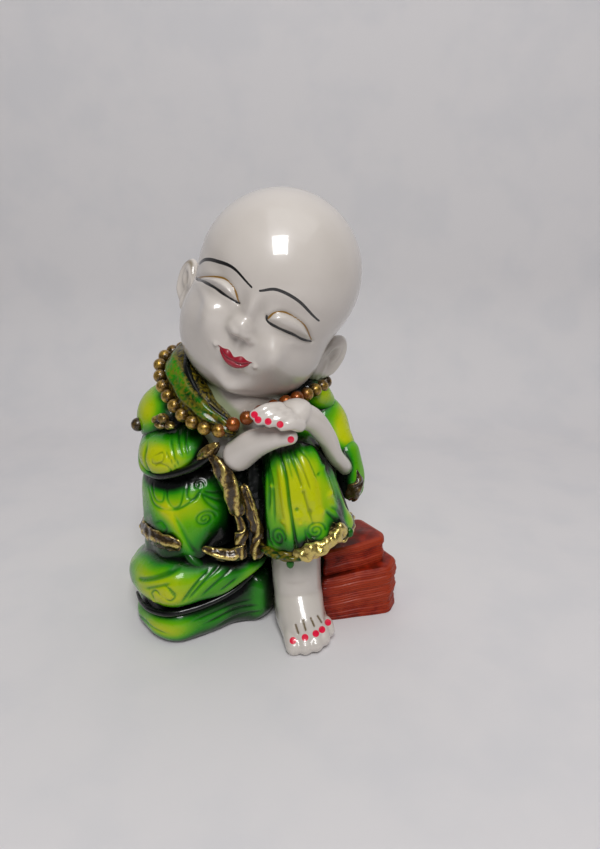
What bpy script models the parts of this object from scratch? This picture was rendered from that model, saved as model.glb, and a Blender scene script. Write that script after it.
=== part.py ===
"""Cast figurine of a small seated child monk who rests a large bald head on folded hands.

The whole work is one piece of painted resin. The right leg lies folded flat on the ground,
the left knee stands up under the hands, and a ridged block stands beside the left foot.
Axes: +X towards the figure's left hand, -Y the way it faces, +Z up. The origin lies on the
ground, under the middle of the bounding box. Sizes are millimetres until a mesh is made.
"""
import math

import bmesh
import bpy
import numpy as np
from mathutils import Euler, Matrix, Vector

MM = 0.001

# Head: a skull and a face that melt together, tipped to the figure's left and nodding
HEAD_PLACE = (1.6, -3.0, 112.5)
HEAD_ROLL = math.radians(26.0)
HEAD_NOD = math.radians(8.0)
HEAD_TURN = math.radians(5.0)
SKULL_CENTRE = (0.0, 2.0, 12.2)
SKULL_SIZE = (26.8, 29.0, 27.0)
FACE_CENTRE = (0.0, -4.0, -9.0)
FACE_SIZE = (24.8, 22.0, 22.5)
HEAD_MELT = 10.0

# Relief of the face: place across and up, spread across and up, height
FACE_RELIEF = {
    "nose_tip": (0.0, 0.4, 2.3, 2.6, 3.6),
    "nose_bridge": (0.0, 5.0, 1.8, 4.0, 1.2),
    "chin": (0.0, -18.5, 4.6, 3.2, 1.5),
    "muzzle": (0.0, -8.6, 6.5, 4.6, 1.2),
    "lips": (0.0, -9.6, 3.6, 1.8, 0.8),
    "under_lip": (0.0, -14.2, 4.5, 1.3, -0.7),
}
FACE_RELIEF_PAIRS = {
    "nose_wing": (3.3, -1.4, 1.4, 1.5, 1.0),
    "cheek": (14.0, -6.0, 6.5, 6.5, 1.3),
    "socket": (11.5, 9.5, 7.0, 4.2, -1.3),
    "eyelid": (12.2, 7.4, 4.8, 2.2, 1.5),
}

# Ears stand off the sides of the head
EAR_OUT = 27.6
EAR_SIZE = (3.0, 4.8, 8.8)
EAR_LEVEL = -7.6
EAR_BACK = 5.0

# Robe body: height, centre x, centre y, half width, front depth, back depth
BODY_STATIONS = (
    (-4.0, -6.0, 8.0, 37.0, 20.0, 34.0),
    (10.0, -6.0, 8.0, 38.0, 20.0, 35.0),
    (28.0, -6.5, 8.0, 34.0, 20.0, 31.0),
    (46.0, -7.5, 7.0, 31.0, 19.0, 27.0),
    (62.0, -8.0, 6.0, 31.0, 18.0, 23.0),
    (74.0, -8.0, 5.0, 28.0, 16.0, 20.0),
    (82.0, -7.0, 4.0, 20.0, 13.0, 15.0),
    (88.0, -6.0, 3.0, 13.0, 10.0, 11.0),
)
BACK_FOLDS = 7
BACK_FOLD_DEPTH = 1.1

# Hanging right sleeve: height on its middle line, centre x and y, half width, half depth
SLEEVE_STATIONS = (
    (62.0, -28.0, -2.0, 12.0, 12.0),
    (56.0, -26.6, -4.0, 17.2, 19.0),
    (49.0, -25.6, -5.0, 18.6, 22.0),
    (40.0, -25.4, -6.0, 18.6, 23.4),
    (34.0, -25.6, -6.5, 18.4, 23.6),
    (30.0, -26.0, -7.0, 18.2, 23.2),
)
SLEEVE_TILT = 0.2
SLEEVE_FOLDS = 9
SLEEVE_FOLD_DEPTH = 0.7

# Raised knee under its drape: height, centre x, centre y, half width, half depth
KNEE_STATIONS = (
    (72.4, 10.8, -17.0, 3.4, 4.0),
    (71.4, 10.9, -17.5, 6.0, 7.6),
    (68.5, 11.2, -18.5, 8.8, 11.4),
    (61.0, 12.0, -19.6, 11.9, 14.2),
    (52.0, 13.2, -20.5, 13.9, 15.4),
    (44.0, 14.6, -21.0, 15.2, 15.9),
    (38.0, 15.2, -21.5, 16.2, 16.4),
    (35.4, 15.3, -21.5, 16.4, 16.6),
)
KNEE_FOLDS = 11
KNEE_FOLD_DEPTH = 0.8

# Folded right leg: a fat upper cushion over a flat lower one. Each row is a place on the
# outline, across and deep, with the heights of the underside and of the top there
LEG_UPPER = (
    (-50.4, -14.0, 9.0, 27.0), (-48.0, -21.0, 10.0, 30.0), (-43.6, -27.4, 11.0, 32.0),
    (-38.2, -33.0, 12.0, 33.0), (-31.4, -36.2, 12.6, 33.6), (-23.6, -35.0, 13.4, 33.6),
    (-15.6, -31.8, 14.6, 33.0), (-8.6, -29.4, 17.4, 32.0), (-2.6, -27.0, 22.0, 31.0),
    (2.0, -20.0, 23.0, 31.0), (0.0, -4.0, 18.0, 32.0), (-12.0, 6.0, 14.0, 32.0),
    (-28.0, 8.0, 12.0, 30.0), (-42.0, 2.0, 10.0, 27.0), (-48.6, -6.0, 9.0, 26.0),
)
LEG_LOWER = (
    (-47.6, -17.0, -4.0, 12.0), (-46.0, -23.6, -4.0, 13.0), (-42.4, -29.0, -4.0, 14.0),
    (-38.0, -34.2, -4.0, 15.0), (-32.4, -36.8, -4.0, 15.6), (-26.4, -36.2, -4.0, 16.0),
    (-20.2, -33.2, -4.0, 16.8), (-15.0, -29.4, -4.0, 17.6), (-10.6, -26.8, -4.0, 19.0),
    (-5.0, -25.4, -4.0, 22.0), (1.0, -24.4, -4.0, 25.0), (5.0, -18.0, -4.0, 25.0),
    (3.0, -4.0, -4.0, 22.0), (-8.0, 6.0, -4.0, 18.0), (-24.0, 9.0, -4.0, 15.0),
    (-38.0, 4.0, -4.0, 13.0), (-45.6, -6.0, -4.0, 12.0),
)
LEG_SQUARENESS = 2.5

# Ridged block beside the foot: corners of its outline, foot and top of each of two steps,
# and the rise of its slabs for each millimetre to the right
BLOCK_STEPS = (
    (((21.0, -22.9), (46.9, -17.6), (50.2, -10.5), (46.0, -3.0), (38.0, 9.0), (22.0, 9.0)), -4.0, 18.3),
    (((22.0, -19.4), (34.4, -16.2), (44.2, -12.4), (44.6, -8.4), (37.0, 4.0), (22.0, 4.0)), 15.0, 28.2),
)
BLOCK_RISE = 0.1
BLOCK_MIDDLE = 36.0
SLAB = 3.6
SLAB_OFFSET = 0.5

# String of beads: half of its way is hidden under the chin and behind the neck
BEAD_PATH = (
    (-12.8, -26.0, 76.3), (-18.6, -24.5, 77.0), (-25.3, -20.0, 79.4), (-31.0, -13.5, 83.6),
    (-35.0, -6.0, 88.4), (-35.0, 2.0, 93.5), (-28.0, 14.0, 94.5), (-14.0, 23.0, 91.0),
    (2.0, 24.0, 87.0), (16.0, 16.0, 84.5), (22.5, 3.0, 84.5), (17.0, -9.0, 84.0),
    (7.0, -19.0, 83.0), (-3.0, -24.5, 80.5),
)
BEAD_RADIUS = 2.4
BEAD_COUNT = 35

VOXEL = 0.75
SKIN_TRIANGLES = 9200


def make_material(name, colour, roughness, metallic=0.0):
    """One Principled finish."""
    material = bpy.data.materials.new(name)
    material.use_nodes = True
    shader = material.node_tree.nodes["Principled BSDF"]
    shader.inputs["Base Color"].default_value = (*colour, 1.0)
    shader.inputs["Roughness"].default_value = roughness
    shader.inputs["Metallic"].default_value = metallic
    return material


def smooth_path(points, steps):
    """Points on a Catmull-Rom curve through the given ones, with so many steps between two."""
    given = np.asarray(points, float)
    padded = np.vstack([2 * given[0] - given[1], given, 2 * given[-1] - given[-2]])
    t = np.linspace(0.0, 1.0, steps, endpoint=False)[:, None]
    pieces = []
    for k in range(1, len(padded) - 2):
        p0, p1, p2, p3 = padded[k - 1:k + 3]
        pieces.append(0.5 * (2 * p1 + (p2 - p0) * t + (2 * p0 - 5 * p1 + 4 * p2 - p3) * t**2
                             + (3 * p1 - p0 - 3 * p2 + p3) * t**3))
    pieces.append(given[-1:])
    return np.vstack(pieces)


def add_grid(bm, rings):
    """Skin through closed rings, with its first and last ring closed by a middle point."""
    rows = [[bm.verts.new(point * MM) for point in ring] for ring in rings]
    for lower, upper in zip(rows, rows[1:]):
        for k in range(len(lower)):
            nxt = (k + 1) % len(lower)
            bm.faces.new((lower[k], lower[nxt], upper[nxt], upper[k]))
    for row, ring in ((rows[0], rings[0]), (rows[-1], rings[-1])):
        tip = bm.verts.new(ring.mean(axis=0) * MM)
        for k in range(len(row)):
            bm.faces.new((row[k], row[(k + 1) % len(row)], tip))


def add_ball(bm, centre, size, turn=(0.0, 0.0, 0.0), fine=1):
    """Ball stretched to three half sizes and turned."""
    place = (Matrix.Translation(Vector(centre) * MM) @ Euler(turn).to_matrix().to_4x4()
             @ Matrix.Diagonal((*(s * MM for s in size), 1.0)))
    bmesh.ops.create_uvsphere(bm, u_segments=12 * fine, v_segments=8 * fine, radius=1.0, matrix=place)


def add_tube(bm, points, radii, flat=1.0, sides=14, steps=5):
    """Round limb or roll of changing radius along a smooth path, with rounded ends.

    flat squeezes the section upwards and downwards.
    """
    route = smooth_path(points, steps)
    widths = smooth_path(np.asarray(radii, float)[:, None], steps)[:, 0]
    along = np.gradient(route, axis=0)
    along /= np.linalg.norm(along, axis=1)[:, None]
    side = np.cross(along, (0.0, 0.0, 1.0))
    side /= np.linalg.norm(side, axis=1)[:, None]
    rise = np.cross(side, along) * flat
    turn = np.linspace(0.0, 2 * math.pi, sides, endpoint=False)[None, :, None]
    rings = route[:, None] + widths[:, None, None] * (
        side[:, None] * np.cos(turn) + rise[:, None] * np.sin(turn))
    cap = np.array([1.0, 0.8, 0.45])[:, None]
    reach = np.array([0.0, 0.55, 0.9])[:, None]
    start = [route[0] - along[0] * widths[0] * r + (rings[0] - route[0]) * c for c, r in zip(cap, reach)]
    end = [route[-1] + along[-1] * widths[-1] * r + (rings[-1] - route[-1]) * c for c, r in zip(cap, reach)]
    add_grid(bm, np.array(start[:0:-1] + list(rings) + end[1:]))


def head_matrix():
    """Head frame: across, back and up, after nod, roll and turn."""
    return (Matrix.Translation(HEAD_PLACE) @ Matrix.Rotation(-HEAD_TURN, 4, "Z")
            @ Matrix.Rotation(HEAD_ROLL, 4, "Y") @ Matrix.Rotation(HEAD_NOD, 4, "X"))


def ray_length(direction, centre, size):
    """Way from the head's middle along each direction to the far side of an ellipsoid."""
    centre, size = np.array(centre), np.array(size)
    a = ((direction / size) ** 2).sum(axis=1)
    b = (direction * centre / size**2).sum(axis=1)
    c = ((centre / size) ** 2).sum() - 1.0
    return (b + np.sqrt(b * b - a * c)) / a


def head_points(direction):
    """Points of the head's skin, in its own frame, for unit directions.

    The reach is a soft maximum of skull and face, and the relief adds a bell curve for each
    feature on the front.
    """
    skull = ray_length(direction, SKULL_CENTRE, SKULL_SIZE)
    face = ray_length(direction, FACE_CENTRE, FACE_SIZE)
    reach = (skull**HEAD_MELT + face**HEAD_MELT) ** (1.0 / HEAD_MELT)
    across, up = direction[:, 0] * reach, direction[:, 2] * reach
    features = list(FACE_RELIEF.values())
    for x, z, wide, tall, height in FACE_RELIEF_PAIRS.values():
        features += [(x, z, wide, tall, height), (-x, z, wide, tall, height)]
    relief = sum(height * np.exp(-(((across - x) / wide) ** 2 + ((up - z) / tall) ** 2))
                 for x, z, wide, tall, height in features)
    relief = relief * (direction[:, 1] < 0.0)
    return direction * (reach + relief)[:, None]


def add_head(bm):
    """Bald head with a face in low relief and an ear on each side."""
    ball = bmesh.ops.create_uvsphere(bm, u_segments=96, v_segments=72, radius=1.0)["verts"]
    direction = np.array([vert.co for vert in ball])
    frame = head_matrix()
    for vert, point in zip(ball, head_points(direction)):
        vert.co = frame @ Vector(point) * MM
    for side in (-1.0, 1.0):
        middle = frame @ Vector((side * EAR_OUT, EAR_BACK, EAR_LEVEL))
        turn = (frame.to_3x3() @ Euler((0.0, side * 0.28, side * 0.5)).to_matrix()).to_euler()
        add_ball(bm, middle, EAR_SIZE, turn, fine=2)
        lobe = frame @ Vector((side * (EAR_OUT - 1.0), EAR_BACK - 1.5, EAR_LEVEL - 7.5))
        add_ball(bm, lobe, (2.2, 2.8, 2.6), turn)


def oval_rings(stations, steps, sides, folds=0, depth=0.0, tilt=0.0, squareness=2.0, face_front=True):
    """Rings of a draped form through (height, centre x, centre y, half width, front, back).

    The last size may be left out where front and back are alike. Folds are waves round the
    ring that grow towards the lower end.
    """
    rows = np.array([row if len(row) == 6 else (*row, row[-1]) for row in stations])
    rows = smooth_path(rows, steps)
    angle = np.linspace(0.0, 2 * math.pi, sides, endpoint=False)
    c, s = np.cos(angle), np.sin(angle)
    power = 2.0 / squareness
    cx = np.sign(c) * np.abs(c) ** power
    sy = np.sign(s) * np.abs(s) ** power
    fall = np.linspace(0.0, 1.0, len(rows))[:, None]
    visible = np.where(sy < 0, 1.0, 0.35) if face_front else np.where(sy > 0, 1.0, 0.0)
    wave = 1.0 + depth * np.cos(folds * angle)[None] * visible[None] * fall / rows[:, 3:4]
    x = rows[:, 1:2] + rows[:, 3:4] * cx[None] * wave
    y = rows[:, 2:3] + np.where(sy[None] < 0, rows[:, 4:5], rows[:, 5:6]) * sy[None] * wave
    z = rows[:, 0:1] + tilt * (x - rows[:, 1:2])
    return np.stack([x, y, z], axis=2)


def add_body(bm):
    """Robe from the ground to the neck, with long folds down the back."""
    rings = oval_rings(BODY_STATIONS[::-1], 3, 72, BACK_FOLDS * 2, BACK_FOLD_DEPTH, face_front=False)
    add_grid(bm, rings)
    add_tube(bm, ((-6.0, 2.0, 80.0), (-4.0, -2.0, 94.0), (-2.0, -3.0, 100.0)), (14.0, 12.5, 12.0))


def add_sleeve(bm):
    """Wide right sleeve that hangs to the folded leg, its short cape and their rolled rims."""
    add_grid(bm, oval_rings(SLEEVE_STATIONS, 3, 64, SLEEVE_FOLDS, SLEEVE_FOLD_DEPTH, SLEEVE_TILT))
    add_ball(bm, (-32.5, 3.0, 71.5), (13.8, 15.0, 13.0), fine=3)
    add_ball(bm, (-28.4, -4.4, 64.0), (16.0, 20.4, 9.6), (0.0, -0.22, 0.0), fine=3)
    cape_rim = ((-42.6, 2.0, 66.0), (-43.0, -6.0, 61.0), (-40.6, -14.0, 58.2), (-34.6, -20.6, 58.2),
                (-28.0, -24.2, 60.4), (-21.4, -25.8, 63.6), (-15.6, -26.2, 67.6))
    add_tube(bm, cape_rim, (1.2, 1.9, 2.1, 1.7, 1.3, 1.2, 1.0))
    hem = ((-44.2, 1.0, 26.0), (-43.2, -8.0, 27.2), (-39.8, -17.6, 29.4), (-34.0, -24.6, 31.2),
           (-27.0, -28.4, 32.6))
    add_tube(bm, hem, (1.8, 2.4, 2.2, 1.6, 1.2), flat=1.4)
    hem_front = ((-23.0, -29.6, 33.6), (-17.6, -30.6, 33.6), (-12.0, -30.8, 32.8), (-7.6, -30.4, 32.6))
    add_tube(bm, hem_front, (1.1, 1.5, 1.9, 2.2))
    ridge = ((-35.0, -22.0, 48.0), (-31.6, -25.6, 44.0), (-28.0, -28.4, 37.0), (-24.8, -29.6, 31.0),
             (-21.6, -30.4, 26.6))
    add_tube(bm, ridge, (0.7, 1.3, 1.6, 2.0, 1.6))
    add_ball(bm, (-44.6, -4.6, 70.6), (2.5, 2.5, 2.5))
    for centre, size in (((-35.2, -13.6, 75.6), 2.2), ((-32.8, -15.4, 75.6), 2.5), ((-30.2, -16.8, 74.2), 2.1)):
        add_ball(bm, centre, (size, size, size * 0.8))


def add_sash(bm):
    """Gilded bands that fall between the sleeve and the knee."""
    front = ((-16.0, -26.2, 67.0), (-12.6, -28.8, 64.6), (-9.6, -30.6, 58.6), (-7.2, -31.6, 50.0))
    add_tube(bm, front, (1.2, 2.3, 2.6, 2.0))
    inner = ((-5.0, -29.0, 57.0), (-2.6, -30.0, 49.0), (-0.8, -30.8, 41.0), (-1.2, -31.8, 34.4))
    add_tube(bm, inner, (1.6, 1.8, 1.8, 2.4))
    edge = ((-7.4, -30.2, 48.0), (-6.0, -31.2, 43.0), (-6.8, -31.4, 38.0), (-6.4, -31.0, 33.0))
    add_tube(bm, edge, (1.0, 1.5, 1.5, 1.5))
    add_ball(bm, (-3.0, -21.0, 45.0), (7.0, 8.4, 21.0), fine=2)


def add_knee(bm):
    """Raised left knee under its drape, with the thigh behind it and the shin below."""
    add_grid(bm, oval_rings(KNEE_STATIONS, 3, 64, KNEE_FOLDS, KNEE_FOLD_DEPTH, squareness=2.3))
    add_tube(bm, ((12.0, -14.0, 54.0), (11.0, -2.0, 46.0), (8.0, 10.0, 34.0)), (14.5, 15.5, 17.0))
    hem = ((-0.6, -30.6, 37.0), (5.6, -36.6, 36.6), (13.4, -38.4, 37.4), (20.4, -37.4, 39.6),
           (26.4, -33.2, 42.6), (30.4, -26.0, 41.6), (31.2, -18.0, 40.6))
    add_tube(bm, hem, (1.3, 1.4, 2.0, 2.2, 2.4, 1.8, 1.4))


def add_foot(bm):
    """Bare shin and foot with five toes."""
    add_tube(bm, ((12.5, -20.0, 40.0), (12.0, -22.5, 26.0), (12.6, -23.0, 14.0), (13.0, -22.0, 6.0)),
             (9.0, 8.8, 8.6, 8.6))
    sole = ((12.0, -17.0, 5.0), (13.5, -26.0, 6.0), (15.5, -33.5, 4.2))
    add_tube(bm, sole, (8.6, 9.0, 9.4), flat=0.75)
    toes = (((10.0, -34.0, 3.8), (11.4, -40.2, 2.6), 3.0), ((14.0, -35.0, 4.2), (15.6, -40.8, 3.0), 2.6),
            ((17.4, -35.0, 4.4), (19.2, -39.8, 3.2), 2.4), ((20.2, -33.5, 4.4), (22.0, -37.6, 3.4), 2.2),
            ((22.4, -31.5, 4.6), (24.0, -34.8, 3.8), 2.1))
    for root, tip, radius in toes:
        middle = tuple(0.5 * (a + b) for a, b in zip(root, tip))
        add_tube(bm, (root, middle, tip), (radius * 0.95, radius, radius * 0.9))


def cushion_rings(outline, rows, sides, squareness):
    """Rings of a soft cushion with a free outline whose underside and top vary along it.

    From top to bottom the outline is scaled by a power of the sine of an angle and the height
    follows the same power of its cosine.
    """
    edge = smooth_path((*outline, outline[0]), 12)[:-1]
    pick = np.linspace(0, len(edge), sides, endpoint=False).astype(int)
    edge = edge[pick]
    middle = edge[:, :2].mean(axis=0)
    level, half = 0.5 * (edge[:, 2] + edge[:, 3]), 0.5 * (edge[:, 3] - edge[:, 2])
    polar = np.linspace(0.08, math.pi - 0.08, rows)[:, None]
    ring = np.sin(polar) ** (2.0 / squareness)
    rise = np.sign(np.cos(polar)) * np.abs(np.cos(polar)) ** (2.0 / squareness)
    x = middle[0] + (edge[:, 0] - middle[0])[None] * ring
    y = middle[1] + (edge[:, 1] - middle[1])[None] * ring
    mean_level, mean_half = level.mean(), half.mean()
    z = mean_level + (level - mean_level)[None] * ring + (mean_half + (half - mean_half)[None] * ring) * rise
    return np.stack([x, y, z], axis=2)


def add_legs(bm):
    """Folded right leg: an upper cushion over a lower one."""
    for outline in (LEG_UPPER, LEG_LOWER):
        add_grid(bm, cushion_rings(outline, 22, 68, LEG_SQUARENESS))


def add_hands(bm):
    """Right forearm and hand on the knee, and the left hand with four fingers on top."""
    add_tube(bm, ((-6.6, -27.2, 68.2), (-1.0, -30.0, 73.4), (5.0, -32.6, 76.2), (10.4, -34.6, 77.3)),
             (5.3, 4.8, 3.6, 2.4))
    add_tube(bm, ((28.4, -15.5, 59.0), (26.0, -19.4, 65.5), (23.4, -22.6, 73.5), (18.8, -26.0, 80.4),
                  (13.0, -29.0, 83.6)), (3.0, 3.1, 3.5, 4.1, 5.0), flat=0.95)
    add_ball(bm, (11.5, -29.5, 83.0), (7.0, 6.0, 4.6), (0.3, -0.4, 0.3), fine=2)
    knuckles = ((7.0, -33.5, 86.6), (9.0, -34.2, 84.6), (11.2, -34.8, 82.6), (13.4, -34.6, 80.6))
    tips = ((-0.6, -37.0, 85.8), (0.6, -37.6, 83.6), (4.0, -38.0, 82.4), (8.0, -37.6, 81.2))
    for root, tip in zip(knuckles, tips):
        middle = tuple(0.5 * (a + b) + c for a, b, c in zip(root, tip, (0.0, -0.8, 0.9)))
        add_tube(bm, (root, middle, tip), (2.2, 2.0, 1.6), sides=10)


def add_left_sleeve(bm):
    """Left shoulder and upper arm, with the cuff that hangs at the elbow."""
    add_tube(bm, ((15.0, 6.0, 76.0), (21.0, 4.0, 70.5), (25.6, -1.0, 62.5), (29.6, -5.0, 53.0)),
             (7.0, 8.4, 7.8, 6.2))
    add_tube(bm, ((29.8, -5.0, 60.0), (31.2, -8.2, 52.6), (31.6, -9.4, 48.6)), (5.2, 5.4, 4.6))
    add_tube(bm, ((13.0, -2.0, 84.0), (18.5, -1.0, 81.5), (21.0, 2.0, 77.5)), (4.0, 5.0, 5.0))


def add_collar(bm):
    """Thick rolled collar that stands high on the right and meets low on the chest."""
    roll = ((-10.0, -24.0, 76.6), (-17.5, -19.5, 80.5), (-23.5, -12.5, 85.6), (-27.0, -3.0, 91.0),
            (-24.0, 8.0, 93.0), (-13.0, 16.0, 91.0), (2.0, 18.0, 87.0), (12.0, 11.0, 84.5), (17.0, 2.0, 83.0))
    add_tube(bm, roll, (3.2, 4.8, 6.0, 6.4, 5.8, 5.0, 4.4, 4.0, 3.6))


def add_beads(bm):
    """String of round beads, evenly spaced along its closed path."""
    loop = smooth_path((*BEAD_PATH, BEAD_PATH[0]), 24)
    steps = np.linalg.norm(np.diff(loop, axis=0), axis=1)
    run = np.concatenate([[0.0], np.cumsum(steps)])
    wanted = np.linspace(0.0, run[-1], BEAD_COUNT, endpoint=False)
    for place in np.stack([np.interp(wanted, run, loop[:, k]) for k in range(3)], axis=1):
        add_ball(bm, place, (BEAD_RADIUS,) * 3)


def rounded_outline(corners, sides):
    """Points evenly round a polygon, its corners softened by a short running mean."""
    ring = np.array((*corners, corners[0]))
    run = np.concatenate([[0.0], np.cumsum(np.linalg.norm(np.diff(ring, axis=0), axis=1))])
    wanted = np.linspace(0.0, run[-1], sides, endpoint=False)
    points = np.stack([np.interp(wanted, run, ring[:, k]) for k in range(2)], axis=1)
    return sum(np.roll(points, k, axis=0) for k in (-1, 0, 1)) / 3.0


def add_block(bm):
    """Ridged block: slabs that step in and out and rise to the right, on two levels."""
    for corners, low, high in BLOCK_STEPS:
        edge = rounded_outline(corners, 52)
        middle = edge.mean(axis=0)
        outward = (edge - middle) / np.linalg.norm(edge - middle, axis=1)[:, None]
        count = round((high - low) / SLAB)
        rings = []
        for k in range(count):
            plan = edge + outward * (SLAB_OFFSET if k % 2 else -SLAB_OFFSET)
            for share in (0.12, 0.88):
                level = low + (high - low) * (k + share) / count
                height = level + BLOCK_RISE * (plan[:, 0] - BLOCK_MIDDLE)
                rings.append(np.column_stack([plan, height]))
        add_grid(bm, np.array(rings))


def cut_flat(bm):
    """Cut everything below the ground and close the underside with a flat face."""
    everything = bm.verts[:] + bm.edges[:] + bm.faces[:]
    bmesh.ops.bisect_plane(bm, geom=everything, dist=1e-6, plane_co=(0, 0, 0), plane_no=(0, 0, 1),
                           clear_inner=True)
    rim = [edge for edge in bm.edges if edge.is_boundary]
    bmesh.ops.holes_fill(bm, edges=rim, sides=0)
    bmesh.ops.triangulate(bm, faces=bm.faces[:])
    bmesh.ops.recalc_face_normals(bm, faces=bm.faces[:])


def build_figurine(collection):
    """Join the forms, melt them into one skin, thin it out and stand it flat."""
    bm = bmesh.new()
    for add in (add_body, add_head, add_sleeve, add_sash, add_knee, add_foot, add_legs, add_hands,
                add_left_sleeve, add_collar, add_beads, add_block):
        add(bm)
    bmesh.ops.recalc_face_normals(bm, faces=bm.faces[:])
    mesh = bpy.data.meshes.new("forms")
    bm.to_mesh(mesh)
    bm.free()
    draft = bpy.data.objects.new("forms", mesh)
    collection.objects.link(draft)
    melt = draft.modifiers.new("melt", "REMESH")
    melt.mode = "VOXEL"
    melt.voxel_size = VOXEL * MM
    bpy.context.view_layer.update()
    melted = len(draft.evaluated_get(bpy.context.evaluated_depsgraph_get()).data.polygons) * 2
    thin = draft.modifiers.new("thin", "DECIMATE")
    thin.ratio = SKIN_TRIANGLES / melted
    bpy.context.view_layer.update()
    skin = bpy.data.meshes.new_from_object(draft.evaluated_get(bpy.context.evaluated_depsgraph_get()))
    bpy.data.objects.remove(draft)
    bm = bmesh.new()
    bm.from_mesh(skin)
    cut_flat(bm)
    bm.to_mesh(skin)
    bm.free()
    skin.name = "baby_monk_figurine"
    skin.materials.clear()
    skin.materials.append(make_material("painted_resin", (0.70, 0.68, 0.64), 0.15))
    figurine = bpy.data.objects.new("baby_monk_figurine", skin)
    collection.objects.link(figurine)
    skin.shade_smooth()
    return figurine


def main():
    """Empty the scene and build the figurine."""
    for old in list(bpy.data.objects):
        bpy.data.objects.remove(old)
    collection = bpy.data.collections.new("seated_child_monk")
    bpy.context.scene.collection.children.link(collection)
    build_figurine(collection)


main()
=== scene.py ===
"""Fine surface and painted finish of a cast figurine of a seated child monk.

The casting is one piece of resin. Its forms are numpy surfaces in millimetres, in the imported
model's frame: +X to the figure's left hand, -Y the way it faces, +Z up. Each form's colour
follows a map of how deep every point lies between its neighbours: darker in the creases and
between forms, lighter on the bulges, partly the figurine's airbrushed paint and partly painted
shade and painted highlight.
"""

import logging
import math
from dataclasses import dataclass, field, replace
from enum import Enum

import bpy
import numpy as np
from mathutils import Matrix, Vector


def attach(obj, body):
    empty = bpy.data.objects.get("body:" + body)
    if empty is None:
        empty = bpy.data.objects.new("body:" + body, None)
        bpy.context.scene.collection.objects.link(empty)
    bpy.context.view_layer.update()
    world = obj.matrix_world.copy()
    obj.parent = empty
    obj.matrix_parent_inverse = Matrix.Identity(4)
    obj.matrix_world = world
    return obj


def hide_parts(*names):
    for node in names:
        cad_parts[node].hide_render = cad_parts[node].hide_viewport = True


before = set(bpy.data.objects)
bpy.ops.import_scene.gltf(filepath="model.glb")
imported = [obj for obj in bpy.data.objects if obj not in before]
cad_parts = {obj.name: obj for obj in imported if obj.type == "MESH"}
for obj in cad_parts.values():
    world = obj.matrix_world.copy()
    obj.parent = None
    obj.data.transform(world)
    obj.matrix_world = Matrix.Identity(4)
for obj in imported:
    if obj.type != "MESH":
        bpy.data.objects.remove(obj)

Array = np.ndarray
Point = tuple[float, float, float]
Path = tuple[Point, ...]

LOG = logging.getLogger("figurine")
MM = 0.001
NODE = "baby_monk_figurine"
BODY = "root"

# The photograph's view, in its own pixels: focal length, frame and pitch
PHOTO_WIDE = 600
PHOTO_TALL = 849
PHOTO_FOCAL = 640
PHOTO_PITCH = 20.0
CAMERA_PLACE = (0.0134, -0.220, 0.149)
SENSOR = 36.0

# Tint of a robe form that is black all over: sprayed black, and on the leg's crease roll also painted shade
BLACKENED = -3.0

# Grain of a melted skin, in millimetres
MELT_GRAIN = 0.42


def linear(red: int, green: int, blue: int) -> tuple[float, float, float, float]:
    """Turn a display colour of 0 to 255 into the linear colour that a shader takes.

    Args:
        red: Red as seen on a screen.
        green: Green as seen on a screen.
        blue: Blue as seen on a screen.

    Returns:
        Linear red, green and blue, and an alpha of one.
    """
    steps = [channel / 255.0 for channel in (red, green, blue)]
    curve = [s / 12.92 if s <= 0.04045 else ((s + 0.055) / 1.055) ** 2.4 for s in steps]
    return (curve[0], curve[1], curve[2], 1.0)


class Coat(Enum):
    """Paint jobs of the casting."""

    SKIN = "skin_enamel"
    ROBE = "robe_spray"
    GILT = "gilt_brush"
    BEAD = "bead_gilt"
    BLOCK = "block_paint"


@dataclass
class Piece:
    """One closed form of the casting, in millimetres, before it becomes a mesh."""

    name: str
    coat: Coat
    points: Array
    quads: Array
    triangles: Array
    values: dict[str, Array] = field(default_factory=dict)

    def normals(self) -> Array:
        """Work out unit normals as the sum of the normals of the faces round each point."""
        total = np.zeros_like(self.points)
        for faces in (self.quads, self.triangles):
            if len(faces) == 0:
                continue
            a, b, c = (self.points[faces[:, k]] for k in range(3))
            if faces.shape[1] == 4:
                normal = np.cross(c - a, self.points[faces[:, 3]] - b)
            else:
                normal = np.cross(b - a, c - a)
            for k in range(faces.shape[1]):
                np.add.at(total, faces[:, k], normal)
        return total / np.maximum(np.linalg.norm(total, axis=1), 1e-12)[:, None]

    def place(self, material: bpy.types.Material) -> bpy.types.Object:
        """Make the mesh object, give it its paint and tie it to the casting.

        Args:
            material: Finish of the whole piece.

        Returns:
            The object, at the origin, with its place in its mesh.
        """
        mesh = bpy.data.meshes.new(self.name)
        sizes = np.concatenate([np.full(len(self.quads), 4), np.full(len(self.triangles), 3)])
        corners = np.concatenate([self.quads.ravel(), self.triangles.ravel()])
        mesh.vertices.add(len(self.points))
        mesh.vertices.foreach_set("co", (self.points * MM).astype(np.float32).ravel())
        mesh.loops.add(len(corners))
        mesh.loops.foreach_set("vertex_index", corners.astype(np.int32))
        mesh.polygons.add(len(sizes))
        first = np.concatenate([[0], np.cumsum(sizes)[:-1]])
        mesh.polygons.foreach_set("loop_start", first.astype(np.int32))
        mesh.polygons.foreach_set("loop_total", sizes.astype(np.int32))
        mesh.update(calc_edges=True)
        mesh.validate()
        for name, value in self.values.items():
            layer = mesh.attributes.new(name, "FLOAT", "POINT")
            layer.data.foreach_set("value", value.astype(np.float32))
        mesh.materials.append(material)
        mesh.shade_smooth()
        made = bpy.data.objects.new(self.name, mesh)
        bpy.context.scene.collection.objects.link(made)
        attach(made, BODY)
        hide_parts(NODE)
        LOG.info("%s: %d faces", self.name, len(sizes))
        return made


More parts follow.
